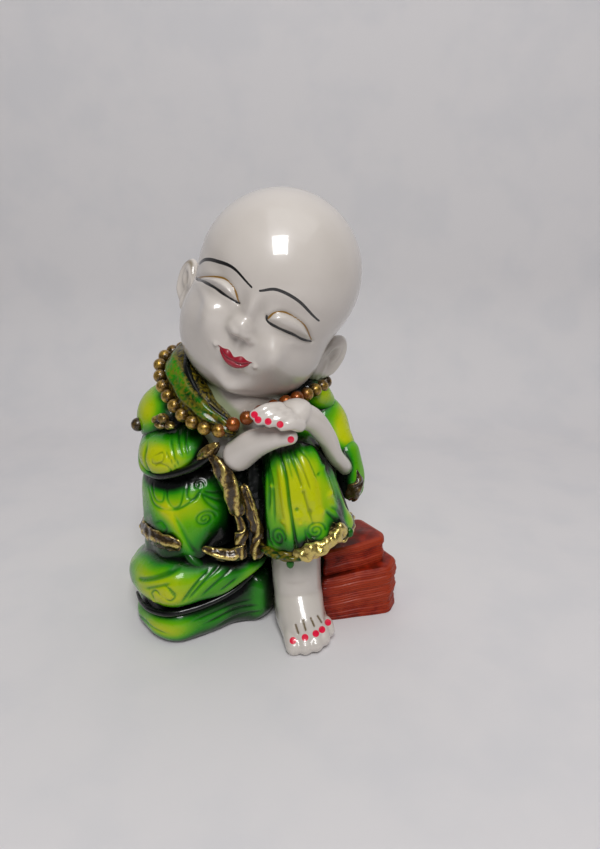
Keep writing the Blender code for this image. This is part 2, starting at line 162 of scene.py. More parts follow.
def smooth_path(points: Path | Array, steps: int) -> Array:
    """Carry a Catmull-Rom curve through the given points.

    Between two points it is half of (2 p1 + (p2 - p0) t + (2 p0 - 5 p1 + 4 p2 - p3) t squared
    + (3 p1 - p0 - 3 p2 + p3) t cubed).

    Args:
        points: Points, or rows of values, to pass through.
        steps: New points between two given ones.

    Returns:
        One row for each point of the curve.
    """
    given = np.asarray(points, float)
    padded = np.vstack([2 * given[0] - given[1], given, 2 * given[-1] - given[-2]])
    t = np.linspace(0.0, 1.0, steps, endpoint=False)[:, None]
    spans = []
    for k in range(1, len(padded) - 2):
        p0, p1, p2, p3 = padded[k - 1:k + 3]
        spans.append(0.5 * (2 * p1 + (p2 - p0) * t + (2 * p0 - 5 * p1 + 4 * p2 - p3) * t**2
                            + (3 * p1 - p0 - 3 * p2 + p3) * t**3))
    spans.append(given[-1:])
    return np.vstack(spans)


def even_points(line: Array, count: int, axes: int) -> Array:
    """Space points evenly along a closed line.

    Args:
        line: Rows of a closed line, its first row again at the end.
        count: Points wanted.
        axes: How many of the first columns count for its length.

    Returns:
        Count rows, with as many columns as the line has.
    """
    run = np.concatenate([[0.0], np.cumsum(np.linalg.norm(np.diff(line[:, :axes], axis=0), axis=1))])
    wanted = np.linspace(0.0, run[-1], count, endpoint=False)
    return np.stack([np.interp(wanted, run, line[:, k]) for k in range(line.shape[1])], axis=1)


def round_about(columns: int) -> Array:
    """Angles round a ring, as one row."""
    return np.linspace(0.0, 2 * math.pi, columns, endpoint=False)[None]


def way_down(rings: Array) -> Array:
    """How far down a grid each ring lies, from 0 to 1, as one column."""
    return np.linspace(0.0, 1.0, len(rings))[:, None]


def ring_normals(rings: Array) -> Array:
    """Work out a grid's outward unit normals from its neighbours along and across."""
    across = np.roll(rings, -1, axis=1) - np.roll(rings, 1, axis=1)
    along = np.gradient(rings, axis=0)
    normal = np.cross(across, along)
    normal /= np.maximum(np.linalg.norm(normal, axis=2), 1e-9)[..., None]
    middle = rings.mean(axis=1, keepdims=True)
    outward = np.sum(normal * (rings - middle))
    return normal if outward > 0 else -normal


def raise_relief(rings: Array, height: Array) -> Array:
    """Move each point of a grid along its normal by its height."""
    return rings + ring_normals(rings) * height[..., None]


def close_rings(name: str, coat: Coat, rings: Array, values: dict[str, Array] | None = None) -> Piece:
    """Close a grid of rings to a piece, with a middle point over its first and last ring.

    Args:
        name: Name of the piece.
        coat: Paint of the piece.
        rings: Rows by columns by three, each row a closed ring.
        values: Grids of numbers that the paint reads, one for each point.

    Returns:
        The piece, its faces pointing outwards.
    """
    rows, columns = rings.shape[:2]
    index = np.arange(rows * columns).reshape(rows, columns)
    right = np.roll(index, -1, axis=1)
    quads = np.stack([index[:-1], right[:-1], right[1:], index[1:]], axis=2).reshape(-1, 4)
    first = np.stack([right[0], index[0], np.full(columns, rows * columns)], axis=1)
    last = np.stack([index[-1], right[-1], np.full(columns, rows * columns + 1)], axis=1)
    triangles = np.concatenate([first, last])
    points = np.vstack([rings.reshape(-1, 3), rings[0].mean(axis=0), rings[-1].mean(axis=0)])
    grids = {key: np.concatenate([grid.ravel(), [grid[0].mean(), grid[-1].mean()]])
             for key, grid in (values or {}).items()}
    a, b, c, d = (points[quads[:, k]] - points.mean(axis=0) for k in range(4))
    volume = np.sum(a * np.cross(b, c)) + np.sum(a * np.cross(c, d))
    if volume < 0:
        quads, triangles = quads[:, ::-1], triangles[:, ::-1]
    return Piece(name, coat, points, quads, triangles, grids)


def join_pieces(name: str, pieces: list[Piece]) -> Piece:
    """Put several closed forms of one paint into one piece."""
    offsets = np.cumsum([0] + [len(piece.points) for piece in pieces[:-1]])
    keys = pieces[0].values.keys()
    return Piece(name, pieces[0].coat, np.vstack([piece.points for piece in pieces]),
                 np.vstack([piece.quads + k for piece, k in zip(pieces, offsets)]),
                 np.vstack([piece.triangles + k for piece, k in zip(pieces, offsets)]),
                 {key: np.concatenate([piece.values[key] for piece in pieces]) for key in keys})


def melt_forms(name: str, forms: list[Array], rounds: int) -> Piece:
    """Melt overlapping forms into one skin and smooth the joins, as soft clay is smoothed.

    Args:
        name: Name of the new piece.
        forms: Grids of rings that overlap.
        rounds: How often each point is moved half way to the middle of its neighbours.

    Returns:
        One closed piece of skin without values.
    """
    joined = join_pieces(name, [close_rings("form", Coat.SKIN, form) for form in forms])
    mesh = bpy.data.meshes.new(name)
    mesh.from_pydata((joined.points * MM).tolist(), [], joined.quads.tolist() + joined.triangles.tolist())
    draft = bpy.data.objects.new(name + "_draft", mesh)
    bpy.context.scene.collection.objects.link(draft)
    melt = draft.modifiers.new("melt", "REMESH")
    melt.mode = "VOXEL"
    melt.voxel_size = MELT_GRAIN * MM
    smooth = draft.modifiers.new("smooth", "SMOOTH")
    smooth.factor = 0.5
    smooth.iterations = rounds
    skin = bpy.data.meshes.new_from_object(draft.evaluated_get(bpy.context.evaluated_depsgraph_get()))
    points = np.empty(len(skin.vertices) * 3)
    skin.vertices.foreach_get("co", points)
    corners = np.empty(len(skin.loops), dtype=np.int64)
    skin.loops.foreach_get("vertex_index", corners)
    totals = np.empty(len(skin.polygons), dtype=np.int64)
    skin.polygons.foreach_get("loop_total", totals)
    starts = np.concatenate([[0], np.cumsum(totals)[:-1]])
    four, three = starts[totals == 4], starts[totals == 3]
    quads = corners[four[:, None] + np.arange(4)]
    triangles = corners[three[:, None] + np.arange(3)]
    bpy.data.objects.remove(draft)
    bpy.data.meshes.remove(mesh)
    bpy.data.meshes.remove(skin)
    return Piece(name, joined.coat, points.reshape(-1, 3) / MM, quads, triangles)


def oval_rings(stations: tuple, steps: int, columns: int, tilt: float = 0.0,
               squareness: float = 2.0) -> Array:
    """Loft ovals of changing size along a column.

    Each station is height, centre x, centre y, half width, half depth in front and behind; a
    ring is centre + half size * sign(cos) |cos| to the power 2 / squareness.

    Args:
        stations: Rows of sizes, from top to bottom.
        steps: Rings between two stations.
        columns: Points round a ring.
        tilt: Rise of each ring for each millimetre towards +X.
        squareness: Two for an ellipse, more for a squarer oval.

    Returns:
        Rings by columns by three, starting at +X and turning through +Y.
    """
    rows = smooth_path(np.array([row if len(row) == 6 else (*row, row[-1]) for row in stations]), steps)
    angle = round_about(columns)
    c, s = np.cos(angle), np.sin(angle)
    power = 2.0 / squareness
    x = rows[:, 1:2] + rows[:, 3:4] * np.sign(c) * np.abs(c) ** power
    y = rows[:, 2:3] + np.where(s < 0, rows[:, 4:5], rows[:, 5:6]) * np.sign(s) * np.abs(s) ** power
    return np.stack([x, y, rows[:, 0:1] + tilt * (x - rows[:, 1:2])], axis=2)


@dataclass(frozen=True)
class Tube:
    """Round or flattened section of changing radius, swept along a smooth path.

    Radii are those at the points of the path, steps are the rings between two of them, columns
    the points of a ring, and flat is the height of the section over its width.
    """

    path: Path
    radii: tuple[float, ...]
    columns: int = 48
    steps: int = 14
    flat: float = 1.0

    def rings(self) -> Array:
        """Rings by columns by three, with rounded ends: each end ring shrinks with the cosine of
        an angle while it moves outwards with its sine."""
        route = smooth_path(self.path, self.steps)
        widths = smooth_path(np.asarray(self.radii, float)[:, None], self.steps)[:, 0]
        along = np.gradient(route, axis=0)
        along /= np.linalg.norm(along, axis=1)[:, None]
        side = np.cross(along, (0.0, 0.0, 1.0))
        side /= np.linalg.norm(side, axis=1)[:, None]
        rise = np.cross(side, along) * self.flat
        turn = round_about(self.columns)[..., None]
        section = side[:, None] * np.cos(turn) + rise[:, None] * np.sin(turn)
        rings = route[:, None] + widths[:, None, None] * section
        ends = []
        for place, out in ((0, -1.0), (-1, 1.0)):
            radial = rings[place] - route[place]
            outward = out * along[place] * widths[place]
            ends.append([route[place] + outward * math.sin(b) + radial * math.cos(b)
                         for b in np.linspace(0.0, 0.5 * math.pi, 9)[1:-1]])
        return np.array(ends[0][::-1] + list(rings) + ends[1])


def cushion_rings(outline: tuple, rows: int, columns: int, squareness: float) -> Array:
    """Rings of a soft cushion with a free outline whose underside and top vary along it.

    From top to bottom the outline is scaled by the sine of an angle to the power 2 / squareness,
    and the height follows the same power of its cosine. Nothing goes below the ground.

    Args:
        outline: Rows of a place across and deep, and the heights of underside and top there.
        rows: Rings from top to bottom.
        columns: Points round a ring.
        squareness: Two for an oval section, more for a squarer one.

    Returns:
        Rings by columns by three.
    """
    edge = even_points(smooth_path((*outline, outline[0]), 40), columns, 2)
    middle = edge[:, :2].mean(axis=0)
    level, half = 0.5 * (edge[:, 2] + edge[:, 3]), 0.5 * (edge[:, 3] - edge[:, 2])
    spread = np.linspace(0.0, 1.0, rows + 2)[1:-1]
    polar = math.pi * (spread - 0.06 * np.sin(4 * math.pi * spread))[:, None]
    ring = np.sin(polar) ** (2.0 / squareness)
    rise = np.sign(np.cos(polar)) * np.abs(np.cos(polar)) ** (2.0 / squareness)
    x = middle[0] + (edge[:, 0] - middle[0])[None] * ring
    y = middle[1] + (edge[:, 1] - middle[1])[None] * ring
    spine = level.mean() + (level - level.mean())[None] * ring
    z = spine + (half.mean() + (half - half.mean())[None] * ring) * rise
    return np.stack([x, y, np.maximum(z, 0.0)], axis=2)


def rounded_outline(corners: tuple, columns: int, softness: int) -> Array:
    """Points evenly round a polygon, its corners softened by a running mean.

    Args:
        corners: Places across and deep.
        columns: Points of the outline.
        softness: Points to either side that the mean takes in.

    Returns:
        Columns by two.
    """
    points = even_points(np.array((*corners, corners[0])), columns, 2)
    return sum(np.roll(points, k, axis=0) for k in range(-softness, softness + 1)) / (2 * softness + 1)


def turn_matrix(about_x: float, about_y: float, about_z: float) -> Array:
    """Rotation about X, then Y, then Z, by angles in radians."""
    cx, sx, cy, sy = math.cos(about_x), math.sin(about_x), math.cos(about_y), math.sin(about_y)
    cz, sz = math.cos(about_z), math.sin(about_z)
    rx = np.array([[1, 0, 0], [0, cx, -sx], [0, sx, cx]])
    ry = np.array([[cy, 0, sy], [0, 1, 0], [-sy, 0, cy]])
    rz = np.array([[cz, -sz, 0], [sz, cz, 0], [0, 0, 1]])
    return rz @ ry @ rx


def ball_rings(centre: Point, size: Point, turn: Point = (0.0, 0.0, 0.0), rows: int = 24,
               columns: int = 36, squareness: float = 2.0) -> Array:
    """Rings of a stretched and turned ball, or of a squarish one.

    Args:
        centre: Middle of the ball.
        size: Half sizes before it is turned.
        turn: Angles about X, Y and Z.
        rows: Rings from top to bottom.
        columns: Points round a ring.
        squareness: Two for an ellipsoid, more for a squarer body.

    Returns:
        Rings by columns by three.
    """
    polar = np.linspace(0.5 / rows, 1.0 - 0.5 / rows, rows)[:, None] * math.pi
    angle = round_about(columns)
    power = 2.0 / squareness
    ring = np.sin(polar) ** power
    c, s, h = np.cos(angle), np.sin(angle), np.cos(polar)
    local = np.stack([ring * np.sign(c) * np.abs(c) ** power, ring * np.sign(s) * np.abs(s) ** power,
                      np.sign(h) * np.abs(h) ** power * np.ones_like(c)], axis=2)
    return (local * np.asarray(size)) @ turn_matrix(*turn).T + np.asarray(centre)


def bell(value: Array, width: float) -> Array:
    """Bell curve: e to the power of minus the square of value over width."""
    return np.exp(-(value / width) ** 2)


def ease(value: Array, low: float, high: float) -> Array:
    """Smooth step from 0 at low to 1 at high: 3 t squared minus 2 t cubed."""
    t = np.clip((value - low) / (high - low), 0.0, 1.0)
    return t * t * (3.0 - 2.0 * t)


def path_distance(flat: Array, path: Array) -> tuple[Array, Array]:
    """Distance of points in a plane to a line of short straight stretches.

    Args:
        flat: Points by two.
        path: Line points by two.

    Returns:
        Distance of each point, and how far along the line its nearest place is, from 0 to 1.
    """
    best = np.full(len(flat), np.inf)
    where = np.zeros(len(flat))
    for k, (start, end) in enumerate(zip(path[:-1], path[1:])):
        span = end - start
        t = np.clip(((flat - start) @ span) / max(span @ span, 1e-12), 0.0, 1.0)
        gap = np.linalg.norm(flat - start - t[:, None] * span, axis=1)
        nearer = gap < best
        best = np.where(nearer, gap, best)
        where = np.where(nearer, (k + t) / (len(path) - 1), where)
    return best, where


@dataclass(frozen=True)
class Stroke:
    """Line cut into, or raised on, the front of a form, drawn in the x and z plane."""

    points: tuple[tuple[float, float], ...]
    width: float = 0.45
    height: float = -0.4

    def lay(self, flat: Array) -> Array:
        """Height of the stroke at each point: a bell curve of its distance, thin at the ends."""
        gap, where = path_distance(flat, smooth_path(self.points, 6))
        taper = np.minimum(1.0, 5.0 * np.minimum(where, 1.0 - where) + 0.25)
        return self.height * bell(gap, 0.85 * self.width) * taper


@dataclass(frozen=True)
class Curl:
    """Spiral: radius shrinks evenly while the angle turns."""

    centre: tuple[float, float]
    radius: float
    turns: float = 1.9
    squash: float = 0.8
    width: float = 0.4
    height: float = -0.36

    def lay(self, flat: Array) -> Array:
        """Height of the spiral at each point."""
        t = np.linspace(0.0, 1.0, 40)
        reach = self.radius * (1.0 - 0.85 * t)
        angle = 2 * math.pi * self.turns * t
        path = np.stack([self.centre[0] + reach * np.cos(angle),
                         self.centre[1] + reach * np.sin(angle) * self.squash], axis=1)
        gap, _ = path_distance(flat, path)
        return self.height * bell(gap, self.width)


@dataclass(frozen=True)
class Glow:
    """Soft round patch of colour: yellow where its strength is positive, dark where negative; partly passes
    of the airbrush, partly painted highlight and painted shade.
    """

    centre: tuple[float, float]
    reach: tuple[float, float]
    strength: float = 1.0
    slope: float = 0.0

    def lay(self, flat: Array) -> Array:
        """Strength of the pass at each point: a bell curve over a slanted oval."""
        x = flat[:, 0] - self.centre[0]
        z = flat[:, 1] - self.centre[1] - self.slope * x
        return self.strength * np.exp(-(x / self.reach[0]) ** 2 - (z / self.reach[1]) ** 2)


@dataclass(frozen=True)
class Dot:
    """Small round boss, or a pit where its height is negative."""

    centre: tuple[float, float]
    radius: float = 0.7
    height: float = 0.55

    def lay(self, flat: Array) -> Array:
        """Height of the dot at each point."""
        gap = np.linalg.norm(flat - np.asarray(self.centre), axis=1)
        return self.height * bell(gap, self.radius)


def carve(rings: Array, marks: tuple, front: bool = True) -> Array:
    """Lay marks that are drawn in the x and z plane on the near or the far side of a form.

    Args:
        rings: Grid of the form.
        marks: Strokes, curls and dots.
        front: True for the side that faces -Y.

    Returns:
        Grid of heights.
    """
    normal_y = ring_normals(rings)[..., 1].ravel()
    side = ease(-normal_y if front else normal_y, 0.02, 0.25)
    flat = rings[..., (0, 2)].reshape(-1, 2)
    chosen = side > 0.0
    total = np.zeros(len(flat))
    for mark in marks:
        total[chosen] += mark.lay(flat[chosen])
    return (total * side).reshape(rings.shape[:2])


def engraved(name: str, coat: Coat, rings: Array, marks: tuple = (), back_marks: tuple = (),
             swell: Array | float = 0.0, glows: tuple = (), tint: float = 0.0) -> Piece:
    """Raise a form's folds and marks and keep how deep each mark is for the paint.

    Args:
        name: Name of the piece.
        coat: Its paint.
        rings: Plain grid.
        marks: Marks on the front.
        back_marks: Marks on the far side.
        swell: Height of folds, one for each point.
        glows: Passes of the airbrush on the front.
        tint: Even share of yellow over the whole form, or of dark where it is negative.

    Returns:
        The closed piece with two values: line, which is 1 in a deep cut and -1 on a boss, and
        glow, which is positive where the paint is more yellow and negative where it is darker,
        partly the airbrush and partly painted highlight and shade.
    """
    height = carve(rings, marks) + carve(rings, back_marks, front=False)
    raised = raise_relief(rings, height + swell)
    raised[..., 2] = np.maximum(raised[..., 2], 0.0)
    return close_rings(name, coat, raised, {"line": np.clip(-height / 0.4, -1.0, 1.0),
                                            "glow": carve(rings, glows) + tint})


@dataclass(frozen=True)
class Swell:
    """Soft form on the face: a bell curve over an oval, or a knob that is flatter on top.

    Places and spreads are across and up from the face's midline; low is the spread below the
    middle where it differs from the one above.
    """

    across: float
    up: float
    wide: float
    tall: float
    height: float
    low: float | None = None
    knob: bool = False

    def lay(self, a: Array, z: Array) -> Array:
        """Height at each point: e to the power of minus the distance squared, or cubed on a knob."""
        if self.knob:
            gap = np.hypot((a - self.across) / self.wide, (z - self.up) / self.tall)
            return self.height * np.exp(-gap**3)
        below = self.tall if self.low is None else self.low
        rise = np.where(z > self.up, (z - self.up) / self.tall, (z - self.up) / below)
        return self.height * np.exp(-((a - self.across) / self.wide) ** 2 - rise**2)

    def mirrored(self) -> "Swell":
        """Same form on the other side of the midline."""
        return replace(self, across=-self.across)


@dataclass(frozen=True)
class Head:
    """Bald head: a skull and a face that melt together, with a painted sleeping face."""

    place: Point = (1.6, -3.0, 112.5)
    roll: float = math.radians(26.0)
    nod: float = math.radians(8.0)
    turn: float = math.radians(5.0)
    skull_centre: Point = (0.0, 2.0, 12.2)
    skull_size: Point = (26.8, 29.0, 27.0)
    face_centre: Point = (0.0, -4.0, -9.0)
    face_size: Point = (24.8, 22.0, 22.5)
    melt: float = 10.0
    rows: int = 240
    columns: int = 368
    face_shift: float = -1.2
    face_slant: float = -0.12
    ear_out: float = 27.2
    ear_back: float = 5.0
    ear_levels: tuple[float, float] = (-7.6, -9.2)
    ear_sizes: tuple[Point, Point] = ((2.4, 5.0, 9.2), (2.6, 6.0, 10.2))
    features: tuple[Swell, ...] = (
        Swell(-0.9, 0.5, 3.2, 3.0, 3.7, knob=True), Swell(-0.1, 6.6, 1.9, 4.4, 1.3),
        Swell(-3.3, -1.3, 2.0, 1.8, 1.3, knob=True), Swell(2.2, -1.7, 2.0, 1.8, 1.2, knob=True),
        Swell(0.0, -5.6, 0.8, 1.8, -0.35), Swell(-0.3, -9.6, 6.2, 3.8, 1.0),
        Swell(-0.3, -15.0, 4.6, 2.2, -0.8), Swell(0.6, -19.6, 6.6, 4.0, 1.7),
        Swell(0.6, -18.9, 3.4, 1.9, 1.0, 3.6), Swell(-10.4, -2.2, 4.6, 4.8, 2.2, 7.0),
        Swell(-10.8, 0.2, 3.4, 3.4, 1.8, 5.0), Swell(9.6, -3.2, 5.2, 4.8, 2.0, 8.0),
        Swell(9.8, -1.7, 3.2, 3.0, 2.4, 6.0), Swell(-1.9, -3.4, 0.9, 0.6, -0.35),
        Swell(0.9, -3.4, 0.9, 0.6, -0.35), Swell(-6.9, -8.1, 0.8, 0.8, 0.75),
        Swell(6.0, -8.6, 0.8, 0.8, 0.75),
    )
    paired_features: tuple[Swell, ...] = (
        Swell(14.0, -6.4, 6.4, 5.6, 0.9), Swell(12.0, 11.6, 7.0, 3.0, -0.9),
        Swell(3.6, 8.0, 2.2, 3.6, -0.9), Swell(13.0, 1.6, 6.0, 1.5, 0.45),
    )
    lip_height: float = 1.1
    lid_height: float = 1.5
    no_paint: float = -9.0
    line_widths: tuple[float, float] = (0.34, 0.16)
    gilt_width: float = 0.30
    tips_in: tuple[float, float] = (0.04, 0.3)
    ear_rim: float = 0.9
    ear_hollow: float = 1.4
    ear_folds: tuple[float, float] = (0.9, 0.5)
    lobe_narrowed: float = 0.34

    def matrix(self) -> Array:
        """Turn from the head's own frame: nod, then roll, then turn."""
        return turn_matrix(0.0, 0.0, -self.turn) @ turn_matrix(self.nod, self.roll, 0.0)

    def to_world(self, local: Array) -> Array:
        """Move points from the head's frame to the casting's."""
        return local @ self.matrix().T + np.asarray(self.place)

    def reach(self, direction: Array) -> Array:
        """Distance from the middle to the skin: (skull to the power n + face to the power n) to 1/n."""
        total = 0.0
        for centre, size in ((self.skull_centre, self.skull_size), (self.face_centre, self.face_size)):
            c, a = np.asarray(centre), np.asarray(size)
            square = ((direction / a) ** 2).sum(axis=-1)
            half = (direction * c / a**2).sum(axis=-1)
            rest = ((c / a) ** 2).sum() - 1.0
            total = total + ((half + np.sqrt(half * half - square * rest)) / square) ** self.melt
        return total ** (1.0 / self.melt)

    @staticmethod
    def lid_lines(side: float) -> tuple[Array, Array]:
        """Upper crease and lower lash line of one eye, across and up from the face's midline."""
        if side < 0:
            crease = ((-21.8, 1.8), (-17.6, 6.3), (-11.5, 10.5), (-6.9, 9.9), (-4.3, 6.6))
            lash = ((-22.6, 1.0), (-18.6, 4.0), (-13.7, 5.9), (-8.6, 6.4), (-4.3, 6.5))
        else:
            crease = ((5.6, 6.4), (7.3, 9.4), (10.9, 10.7), (16.4, 8.8), (20.2, 3.6))
            lash = ((5.2, 7.2), (5.9, 5.7), (9.6, 5.0), (13.9, 4.5), (17.2, 3.5), (20.4, 2.9))
        return smooth_path(crease, 8), smooth_path(lash, 8)

    @staticmethod
    def brow_line(side: float) -> Array:
        """Brush stroke of one brow, across and up from the face's midline."""
        if side < 0:
            return smooth_path(((-21.8, 6.6), (-19.4, 10.4), (-15.4, 13.1), (-8.8, 15.0), (-1.6, 13.2)), 10)
        return smooth_path(((1.0, 13.4), (5.9, 16.0), (13.1, 15.2), (20.4, 10.9)), 10)

    @staticmethod
    def lip_field(a: Array, z: Array) -> Array:
        """How far inside the painted lips a point lies: positive inside, in millimetres.

        The upper edge is a shallow cupid's bow and the lower edge a parabola.
        """
        x = a + 0.5
        upper = -8.5 + 0.75 * bell(np.abs(x) - 2.2, 1.3) - 0.35 * bell(x, 0.8) + 0.022 * x * x
        lower = -12.9 + 0.157 * x * x
        return np.minimum(upper - z, z - lower)

    def lid_relief(self, a: Array, z: Array, side: float) -> Array:
        """Height of one closed lid: a soft step between its lines, with a cut along each."""
        crease, lash = self.lid_lines(side)
        flat = np.stack([a.ravel(), z.ravel()], axis=1)
        to_crease = path_distance(flat, crease)[0].reshape(a.shape)
        to_lash = path_distance(flat, lash)[0].reshape(a.shape)
        upper, lower = crease[np.argsort(crease[:, 0] * side)], lash[np.argsort(lash[:, 0] * side)]
        top = np.interp(a * side, upper[:, 0] * side, upper[:, 1], left=-99.0, right=-99.0)
        foot = np.interp(a * side, lower[:, 0] * side, lower[:, 1])
        inside = ease(np.minimum(top - z, z - foot), -0.1, 2.4)
        return self.lid_height * inside - 0.4 * bell(to_crease, 0.6) - 0.5 * bell(to_lash, 0.5)

    def face_relief(self, a: Array, z: Array) -> Array:
        """Height of the features over the plain face: the sum of nose, muzzle, cheeks, chin,
        hollows, lids and lips, less a cut along the mouth."""
        paired = [form for one in self.paired_features for form in (one.mirrored(), one)]
        height = sum(form.lay(a, z) for form in (*self.features, *paired))
        height += self.lip_height * ease(self.lip_field(a, z), -0.5, 1.5)
        mouth = z - (-10.0 + 0.055 * (a + 0.5) ** 2)
        height -= 0.85 * bell(mouth, 0.38) * ease(-np.abs(a + 0.5), -6.3, -4.5)
        return height + self.lid_relief(a, z, -1.0) + self.lid_relief(a, z, 1.0)

    def skin(self) -> Piece:
        """Head without its ears; rings run down from the crown and are closest on the face."""
        spread = np.linspace(0.0, 1.0, self.rows + 2)[1:-1]
        start = math.sin(0.18 * math.pi) * (1 - 2 * spread)
        crowd = 0.045 * (np.sin(2 * math.pi * (spread - 0.09)) + start)
        polar = math.pi * (spread + crowd)[:, None]
        even = np.linspace(-math.pi, math.pi, self.columns, endpoint=False)
        angle = (even - 0.42 * np.sin(even))[None]
        direction = np.stack([np.sin(polar) * np.sin(angle), -np.sin(polar) * np.cos(angle),
                              np.cos(polar) * np.ones_like(angle)], axis=2)
        reach = self.reach(direction)
        x, z = direction[..., 0] * reach, direction[..., 2] * reach
        a = x - self.face_shift - self.face_slant * z
        front = ease(-direction[..., 1], 0.0, 0.25)
        relief = self.face_relief(a, z) * front
        local = direction * (reach + relief)[..., None]
        flat = np.stack([a.ravel(), z.ravel()], axis=1)
        ink = np.full(len(flat), self.no_paint)
        gilt = np.full(len(flat), self.no_paint)
        thin, swell = self.line_widths
        for side in (-1.0, 1.0):
            gap, where = path_distance(flat, self.brow_line(side))
            width = thin + swell * np.sin(math.pi * where)
            ink = np.maximum(ink, width - gap)
            crease, lash = self.lid_lines(side)
            gap, where = path_distance(flat, lash)
            width = thin + swell * np.sin(math.pi * where) + 0.06 * np.sin(23.0 * where + side)
            ink = np.maximum(ink, width - gap)
            gap, where = path_distance(flat, crease)
            gilt = np.maximum(gilt, self.gilt_width + 0.05 * np.sin(17.0 * where) - gap)
        clear = front.ravel() > 0.05
        values = {"ink": np.where(clear, ink, self.no_paint).reshape(a.shape),
                  "gilt_line": np.where(clear, gilt, self.no_paint).reshape(a.shape),
                  "lips": np.where(front > 0.5, self.lip_field(a, z) + 0.1, self.no_paint)}
        return close_rings("head", Coat.SKIN, self.to_world(local), values)

    def ear(self, side: float) -> Piece:
        """Ear: an oval plate with a raised rim, a hollow inside it and a soft lobe.

        The height over the plate is a bell curve of the distance to the rim, less one of the
        distance to the middle of the hollow.
        """
        rings = ball_rings((0.0, 0.0, 0.0), (1.0, 1.0, 1.0), rows=72, columns=96)
        up, back = rings[..., 2], rings[..., 1]
        outer = ease(rings[..., 0] * side, 0.0, 0.35)
        oval = np.sqrt(back**2 + (up * 0.98) ** 2)
        rim = self.ear_rim * bell(oval - 0.80, 0.17) * ease(up, -0.75, -0.2)
        hollow = self.ear_hollow * bell(np.hypot(back / 0.5, (up + 0.02) / 0.62), 1.0)
        arch, ramp = self.ear_folds
        fold = arch * bell(np.hypot(back + 0.12, up - 0.22) - 0.36, 0.13) * ease(up, -0.2, 0.2)
        fold += ramp * bell(back + 0.5 * up + 0.1, 0.12) * ease(-up, -0.3, 0.2)
        local = rings * np.asarray(self.ear_sizes[int(side > 0)])
        local[..., 1] *= 1.0 - self.lobe_narrowed * ease(-up, 0.2, 1.0)
        local[..., 1] += 0.9 * up
        local[..., 0] += side * outer * (rim - hollow + fold)
        tip_in = self.tips_in[int(side > 0)]
        local = local @ turn_matrix(-0.2 - 0.7 * tip_in, -side * tip_in, -side * 0.85).T
        local += np.array([side * self.ear_out, self.ear_back, self.ear_levels[int(side > 0)]])
        name = "ear_left" if side > 0 else "ear_right"
        worn = 0.5 * bell(oval - 0.86, 0.1) * ease(up, 0.1, 0.7) if side < 0 else 0.0
        return close_rings(name, Coat.SKIN, self.to_world(local), {"stain": outer * (hollow * 0.18 + worn)})

    def build(self) -> list[Piece]:
        """Skin of the head and both ears."""
        return [self.skin(), self.ear(-1.0), self.ear(1.0)]


